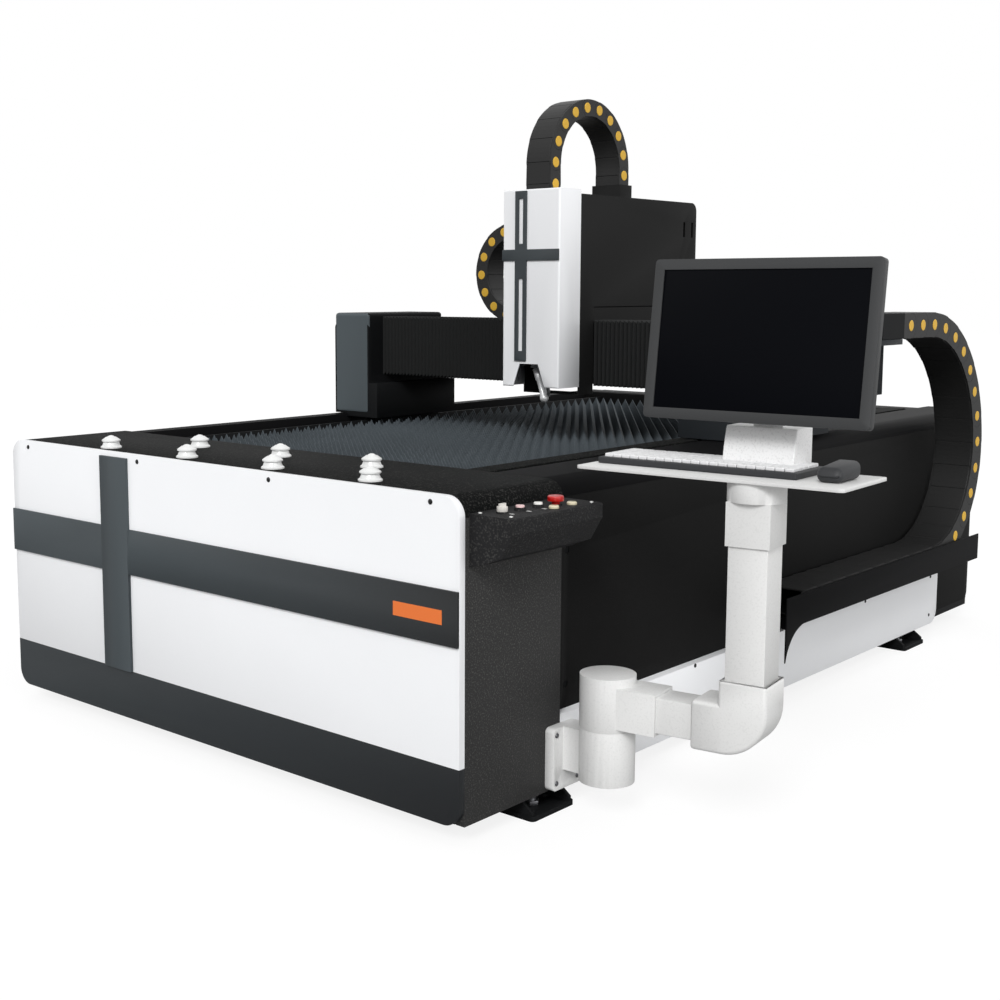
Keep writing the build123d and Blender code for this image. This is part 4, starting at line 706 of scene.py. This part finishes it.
def build_cross_chain():
    """The chain from the tray on the gantry over to the carriage."""
    pitch, height, radius = 56 * MM, 45 * MM, 130 * MM
    low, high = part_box("cross_chain")
    width = high.y - low.y
    upper, lower = high.z - height / 2, low.z + height / 2
    centre_x = -290 * MM
    start_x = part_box("carriage_cover")[0].x
    route = Route((0, (low.y + high.y) / 2, 0), (1, 0, 0), (0, 0, 1))
    route.line((start_x, upper), (centre_x, upper))
    route.arc((centre_x, upper - radius), radius, 90, 180)
    route.line((centre_x, lower), (high.x + SPARE, lower))
    loop = Vector((centre_x, 0, 0))
    moving, fixed, far = Vector((start_x, 0, 0)), Vector((high.x, 0, 0)), Vector((FAR, 0, 0))
    build_chain(
        "cross_chain_links", "cross_chain", route, pitch, width, height, 27 * MM, -1,
        (
            (0, 5, loop * 2 - moving, moving),
            (5, 12, loop - far, loop + far),
            (12, 18, fixed, loop * 2 - fixed),
        ),
    )


def build_head_chain():
    """The chain from the socket on the carriage over to the head."""
    pitch, height, radius = 56 * MM, 45 * MM, 158 * MM
    low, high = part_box("head_chain")
    width = high.x - low.x
    rear_y, front_y = high.y - height / 2, low.y + height / 2
    top = high.z - height / 2 - radius + BEND_RELIEF
    socket_depth = 30 * MM
    start_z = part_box("carriage_cover")[1].z - socket_depth
    route = Route(((low.x + high.x) / 2, 0, 0), (0, 1, 0), (0, 0, 1))
    route.line((rear_y, start_z), (rear_y, top))
    route.arc((rear_y - radius, top), radius, 0, 180)
    route.line((front_y, top), (front_y, low.z - SPARE))
    socket, leg = Vector((0, 0, start_z)), Vector((0, 0, top))
    moving, far = Vector((0, 0, low.z)), Vector((0, 0, FAR))
    build_chain(
        "head_chain_links", "head_chain", route, pitch, width, height, 27 * MM, -1,
        (
            (0, 1, socket, leg * 2 - socket),
            (1, 9, leg - far, leg + far),
            (9, 13, leg * 2 - moving, moving),
        ),
    )


build_long_chain()
build_cross_chain()
build_head_chain()


# Keyboard: a dark body with rows of pale caps, on the tray
TRAY_TURN = math.radians(3.3)
COLUMN_AXIS = Vector((1149.12, -831.805, 0)) * MM
KEY_ROWS = (21, 21, 20, 20, 15)


def tray_place(x, y, z=0.0):
    """A place on the tray's own axes, from its edge line and from its top face."""
    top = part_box("keyboard")[0].z
    spot = Matrix.Rotation(TRAY_TURN, 4, "Z") @ Vector((x * MM, y * MM, 0))
    return COLUMN_AXIS + spot + Vector((0, 0, top + z * MM))


def build_keyboard():
    """The keyboard's body with its rows of caps."""
    mesh = bmesh.new()
    turn = Matrix.Translation(tray_place(0, 0)) @ Matrix.Rotation(TRAY_TURN, 4, "Z")
    left, width, depth, body_height = -341 * MM, 416 * MM, 130 * MM, 13 * MM
    side_margin, front_margin, row_pitch = 9 * MM, 10 * MM, 22.5 * MM
    cap_gap, cap_depth, cap_foot, cap_top = 0.6 * MM, 20 * MM, 12 * MM, 19.6 * MM
    add_box(mesh, (left, 0, 0), (left + width, depth, body_height), 3 * MM, 0, 3, turn)
    for row, count in enumerate(KEY_ROWS):
        y = front_margin + row * row_pitch
        cap_width = (width - 2 * side_margin) / count
        for i in range(count):
            x = left + side_margin + i * cap_width
            first = (x + cap_gap, y, cap_foot)
            last = (x + cap_width - cap_gap, y + cap_depth, cap_top)
            add_box(mesh, first, last, 2 * MM, 1, 2, turn)
    make_piece(
        "keyboard_body_and_caps", mesh, ["keyboard_black", "key_cap"], "desk",
        ("keyboard",), False,
    )


build_keyboard()


# Small fittings that ride on their panels
def add_screw(mesh, spot, outward, radius=6.0, index=0):
    """A pan head with a slot-free crown, set on a face."""
    turn = Vector((0, 0, 1)).rotation_difference(Vector(outward)).to_matrix().to_4x4()
    profile = [(0, 2.2), (radius * 0.55, 2.0), (radius * 0.9, 1.2), (radius, 0)]
    add_turned(mesh, [(r * MM, h * MM) for r, h in profile], Matrix.Translation(spot) @ turn, 20, index)


# Places of the small fittings, in millimetres from the front face, the centre line and the bed
FRONT_SCREW_X = (-678, -226, 226, 678)
FRONT_SCREW_Z = 617
SIDE_SCREWS = ((833, 147), (1729, 147), (2178, 147), (2178, 29))
CONSOLE_SCREWS = ((761, 45), (832, 48), (836, 292))
CONSOLE_PLATES = ((812, 75), (815, 122), (818, 165))
PLATE_HALF = (5, 3)
PLATE_THICKNESS = 0.6
TAG_LOW = (587, 389, -6.5)
TAG_HIGH = (712, 417, -5.9)


def build_panel_screws():
    """Dark screws along the top of the front panel and on the lower side panel."""
    mesh = bmesh.new()
    for x in FRONT_SCREW_X:
        add_screw(mesh, front_place(x, FRONT_SCREW_Z), (0, -1, 0), 5.5)
    for y, z in SIDE_SCREWS:
        add_screw(mesh, Vector((HALF_X, FRONT_Y + y * MM, BED_Z + z * MM)), (1, 0, 0), 5)
    make_piece("panel_screws", mesh, ["screw_dark"], "bed")


def build_console_fittings():
    """Bright screws and bare plates on the console's top."""
    mesh = bmesh.new()
    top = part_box("pilot_lamps")[0].z
    for x, y in CONSOLE_SCREWS:
        add_screw(mesh, Vector((x * MM, FRONT_Y + y * MM, top)), (0, 0, 1), 4)
    half_x, half_y = PLATE_HALF
    for x, y in CONSOLE_PLATES:
        low = Vector(((x - half_x) * MM, FRONT_Y + (y - half_y) * MM, top))
        high = low + Vector((2 * half_x, 2 * half_y, PLATE_THICKNESS)) * MM
        add_box(mesh, low, high, 0.2 * MM)
    make_piece("console_screws_and_plates", mesh, ["screw_bright"], "bed")


def build_blank_tag():
    """The bare orange plate on the front trim."""
    mesh = bmesh.new()
    add_box(mesh, front_place(*TAG_LOW), front_place(*TAG_HIGH), 0.2 * MM)
    make_piece("blank_tag", mesh, ["tag_orange"], "bed", (), False)


def build_arm_plate_screws():
    """The four screws of the plate that holds the operator's arm."""
    mesh = bmesh.new()
    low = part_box("arm_base")[0]
    plate_x = low.x + 20 * MM
    for z in (low.z + 15 * MM, low.z + 115 * MM):
        for y in (low.y + 13 * MM, low.y + 83 * MM):
            add_screw(mesh, Vector((plate_x, y, z)), (1, 0, 0), 5)
    make_piece("arm_plate_screws", mesh, ["bolt_steel"], "bed")


def build_left_shell():
    """The upright cover of the left end housing: pale in front, dark on top and behind."""
    low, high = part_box("left_end_housing")
    beam_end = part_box("cross_rails")[0].x
    rail_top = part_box("left_rail_cover")[1].z
    mesh = bmesh.new()
    first = (low.x - 0.5 * MM, low.y - 0.8 * MM, rail_top + 4 * MM)
    last = (beam_end + 0.6 * MM, high.y - 60 * MM, high.z + 32 * MM)
    add_box(mesh, first, last, 10 * MM, 0, 4)
    bmesh.ops.recalc_face_normals(mesh, faces=mesh.faces)
    for face in mesh.faces:
        if face.normal.y > -0.5:
            face.material_index = 1
    make_piece("left_end_shell", mesh, ["blue_grey", "frame_black"], "gantry", (), False)


def build_carriage_skirt():
    """A narrow plate that closes the cover's arch beside the right bellows."""
    cover_low, cover_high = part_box("carriage_cover")
    mesh = bmesh.new()
    thickness, front_inset, rear_reach = 3 * MM, 66 * MM, 428 * MM
    foot, top = 962 * MM, 1004 * MM
    low = (cover_high.x - thickness, cover_low.y + front_inset, foot)
    high = (cover_high.x, cover_low.y + rear_reach, top)
    add_box(mesh, low, high, 0.5 * MM)
    make_piece("carriage_skirt", mesh, ["satin_black"], "carriage", (), False)


def build_chain_clamp():
    """The block on the gantry's bracket that holds the moving end of the long chain."""
    low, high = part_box("long_chain")
    mesh = bmesh.new()
    end_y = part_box("right_end_housing")[1].y - CLAMP_INSET
    length, cover, height = 100 * MM, 34 * MM, 68 * MM
    add_box(
        mesh, (low.x, end_y - length, high.z - height), (high.x, end_y + cover, high.z), 2 * MM
    )
    make_piece("chain_clamp", mesh, ["frame_black"], "gantry", (), False)


def build_nozzle_arm():
    """The bright arm of the cutting nozzle: a tapered tube with a round end."""
    low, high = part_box("cutting_head")
    tip = Vector((113 * MM, low.y + 20 * MM, low.z + 10 * MM))
    root = Vector((84 * MM, low.y + 22 * MM, low.z + 88 * MM))
    length = (root - tip).length
    turn = Vector((0, 0, 1)).rotation_difference(root - tip).to_matrix().to_4x4()
    place = Matrix.Translation(tip) @ turn
    mesh = bmesh.new()
    ball, thin, thick, neck = 12 * MM, 8 * MM, 10 * MM, 15 * MM
    angles = [math.radians(angle) for angle in range(0, 121, 20)]
    profile = [(ball * math.sin(angle), -ball * math.cos(angle)) for angle in angles]
    profile += [(thin, neck), (thin, length * 0.6), (thick, length * 0.64)]
    profile += [(thick, length), (0, length)]
    add_turned(mesh, profile, place, 28)
    make_piece("nozzle_arm", mesh, ["nozzle_steel"], "head")


def build_casters():
    """Ball caster cups: a foot flange, a waisted body, and a collar that closes over the ball."""
    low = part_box("caster_cups")[0]
    profile = (
        (0, 0), (24.9, 0), (24.9, 3), (21, 6), (18, 14), (22, 16), (22, 19), (12, 26), (9.8, 26),
        (13.4, 17), (13.4, 4), (0, 4),
    )
    mesh = bmesh.new()
    for number in range(1, 8):
        ball_low, ball_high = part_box(f"caster_ball_{number}")
        middle = (ball_low + ball_high) / 2
        place = Matrix.Translation((middle.x, middle.y, low.z))
        add_turned(mesh, [(radius * MM, height * MM) for radius, height in profile], place, 40)
    make_piece(
        "caster_cup_turnings", mesh, ["caster_white"], "bed", ("caster_cups",), False
    )


def build_mouse():
    """A low rounded pointer housing beside the keyboard, higher behind than in front."""
    low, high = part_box("mouse")
    half_width, half_depth = 24 * MM, 50 * MM
    mesh = bmesh.new()
    height = high.z - low.z
    verts = add_box(
        mesh, (-half_width, -half_depth, 0), (half_width, half_depth, height), 13 * MM, 0, 5
    )
    for vert in verts:
        if vert.co.z > height / 2 and vert.co.y < 0:
            vert.co.z -= 10 * MM * (-vert.co.y / half_depth) ** 2
    middle = Vector(((low.x + high.x) / 2, (low.y + high.y) / 2, low.z))
    turn = Matrix.Translation(middle) @ Matrix.Rotation(TRAY_TURN, 4, "Z")
    bmesh.ops.transform(mesh, matrix=turn, verts=mesh.verts)
    make_piece("mouse_shell", mesh, ["keyboard_black"], "desk", ("mouse",))


def build_pedestal():
    """The monitor's pale foot: a block with a hollowed front."""
    turn = Matrix.Translation(tray_place(0, 0)) @ Matrix.Rotation(TRAY_TURN, 4, "Z")
    left, width, near, depth, height, flare = -103, 144, 62, 83, 84, 15
    rim = [(depth, 0), (depth, height), (flare, height)]
    curve_steps = 9
    for i in range(1, curve_steps):
        share = i / curve_steps
        rim.append((flare * (1 - share) ** 2, height * (1 - share)))
    rim.append((0, 0))
    mesh = bmesh.new()
    face = mesh.faces.new([mesh.verts.new((left * MM, (near + y) * MM, z * MM)) for y, z in rim])
    lifted = bmesh.ops.extrude_face_region(mesh, geom=[face])
    verts = [item for item in lifted["geom"] if isinstance(item, bmesh.types.BMVert)]
    bmesh.ops.translate(mesh, vec=(width * MM, 0, 0), verts=verts)
    edges = [edge for edge in mesh.edges if len(edge.link_faces) == 2 and edge.calc_face_angle(0) > 1.0]
    bmesh.ops.bevel(
        mesh, geom=edges, offset=2 * MM, offset_type="OFFSET", segments=2, profile=0.5,
        affect="EDGES", material=-1, clamp_overlap=True,
    )
    bmesh.ops.transform(mesh, matrix=turn, verts=mesh.verts)
    make_piece("monitor_pedestal", mesh, ["stand_white"], "desk", (), False)


build_panel_screws()
build_console_fittings()
build_blank_tag()
build_arm_plate_screws()
build_left_shell()
build_carriage_skirt()
build_chain_clamp()
build_nozzle_arm()
build_casters()
build_mouse()
build_pedestal()


# Camera, lamps, floor and background
CAMERA_PLACE = (2.387, -3.096, 1.049)
CAMERA_TILT = math.radians(90 - 7.089)
CAMERA_TURN = math.radians(41.866)


def build_stage():
    scene = bpy.context.scene
    scene.view_settings.view_transform = "Standard"
    camera_data = bpy.data.cameras.new("camera")
    camera_data.lens = 50
    camera_data.sensor_width = 36
    camera_data.shift_x = 0.0654
    camera_data.shift_y = -0.0376
    camera = bpy.data.objects.new("camera", camera_data)
    camera.location = CAMERA_PLACE
    camera.rotation_euler = (CAMERA_TILT, 0, CAMERA_TURN)
    scene.collection.objects.link(camera)
    scene.camera = camera
    for name, strength, towards, spread in (
        ("key", 1.8, (-0.35, 0.72, -0.6), 20),
        ("fill", 0.9, (-0.9, 0.1, -0.25), 40),
    ):
        lamp_data = bpy.data.lights.new(name, "SUN")
        lamp_data.energy = strength
        lamp_data.angle = math.radians(spread)
        lamp = bpy.data.objects.new(name, lamp_data)
        lamp.rotation_euler = Vector((0, 0, -1)).rotation_difference(Vector(towards)).to_euler()
        scene.collection.objects.link(lamp)
    world = bpy.data.worlds.new("surround")
    scene.world = world
    world.use_nodes = True
    tree = world.node_tree
    tree.nodes.clear()
    path = tree.nodes.new("ShaderNodeLightPath")
    seen = path.outputs["Is Camera Ray"]
    for label in ("Is Transmission Ray", "Is Glossy Ray"):
        either = tree.nodes.new("ShaderNodeMath")
        either.operation = "MAXIMUM"
        tree.links.new(seen, either.inputs[0])
        tree.links.new(path.outputs[label], either.inputs[1])
        seen = either.outputs["Value"]
    strength = tree.nodes.new("ShaderNodeMapRange")
    tree.links.new(seen, strength.inputs["Value"])
    strength.inputs["To Min"].default_value = 0.6
    strength.inputs["To Max"].default_value = 1.0
    background = tree.nodes.new("ShaderNodeBackground")
    background.inputs["Color"].default_value = (1, 1, 1, 1)
    tree.links.new(strength.outputs["Result"], background.inputs["Strength"])
    output = tree.nodes.new("ShaderNodeOutputWorld")
    tree.links.new(background.outputs["Background"], output.inputs["Surface"])
    floor_mesh = bmesh.new()
    bmesh.ops.create_grid(floor_mesh, x_segments=1, y_segments=1, size=30)
    data = bpy.data.meshes.new("floor")
    floor_mesh.to_mesh(data)
    floor_mesh.free()
    floor = bpy.data.objects.new("floor", data)
    scene.collection.objects.link(floor)
    material = bpy.data.materials.new("floor_white")
    material.use_nodes = True
    nodes_of = material.node_tree.nodes
    links = material.node_tree.links
    nodes_of.clear()
    diffuse = nodes_of.new("ShaderNodeBsdfDiffuse")
    glow = nodes_of.new("ShaderNodeEmission")
    glow.inputs["Strength"].default_value = 1.05
    light_path = nodes_of.new("ShaderNodeLightPath")
    tone = nodes_of.new("ShaderNodeMapRange")
    tone.inputs["To Min"].default_value = 0.45
    tone.inputs["To Max"].default_value = 0.95
    links.new(light_path.outputs["Is Camera Ray"], tone.inputs["Value"])
    links.new(tone.outputs["Result"], diffuse.inputs["Color"])
    share = nodes_of.new("ShaderNodeMath")
    share.operation = "MULTIPLY"
    share.inputs[1].default_value = 0.8
    links.new(light_path.outputs["Is Camera Ray"], share.inputs[0])
    mix = nodes_of.new("ShaderNodeMixShader")
    links.new(share.outputs["Value"], mix.inputs["Fac"])
    links.new(diffuse.outputs["BSDF"], mix.inputs[1])
    links.new(glow.outputs["Emission"], mix.inputs[2])
    target = nodes_of.new("ShaderNodeOutputMaterial")
    links.new(mix.outputs["Shader"], target.inputs["Surface"])
    data.materials.append(material)


build_stage()
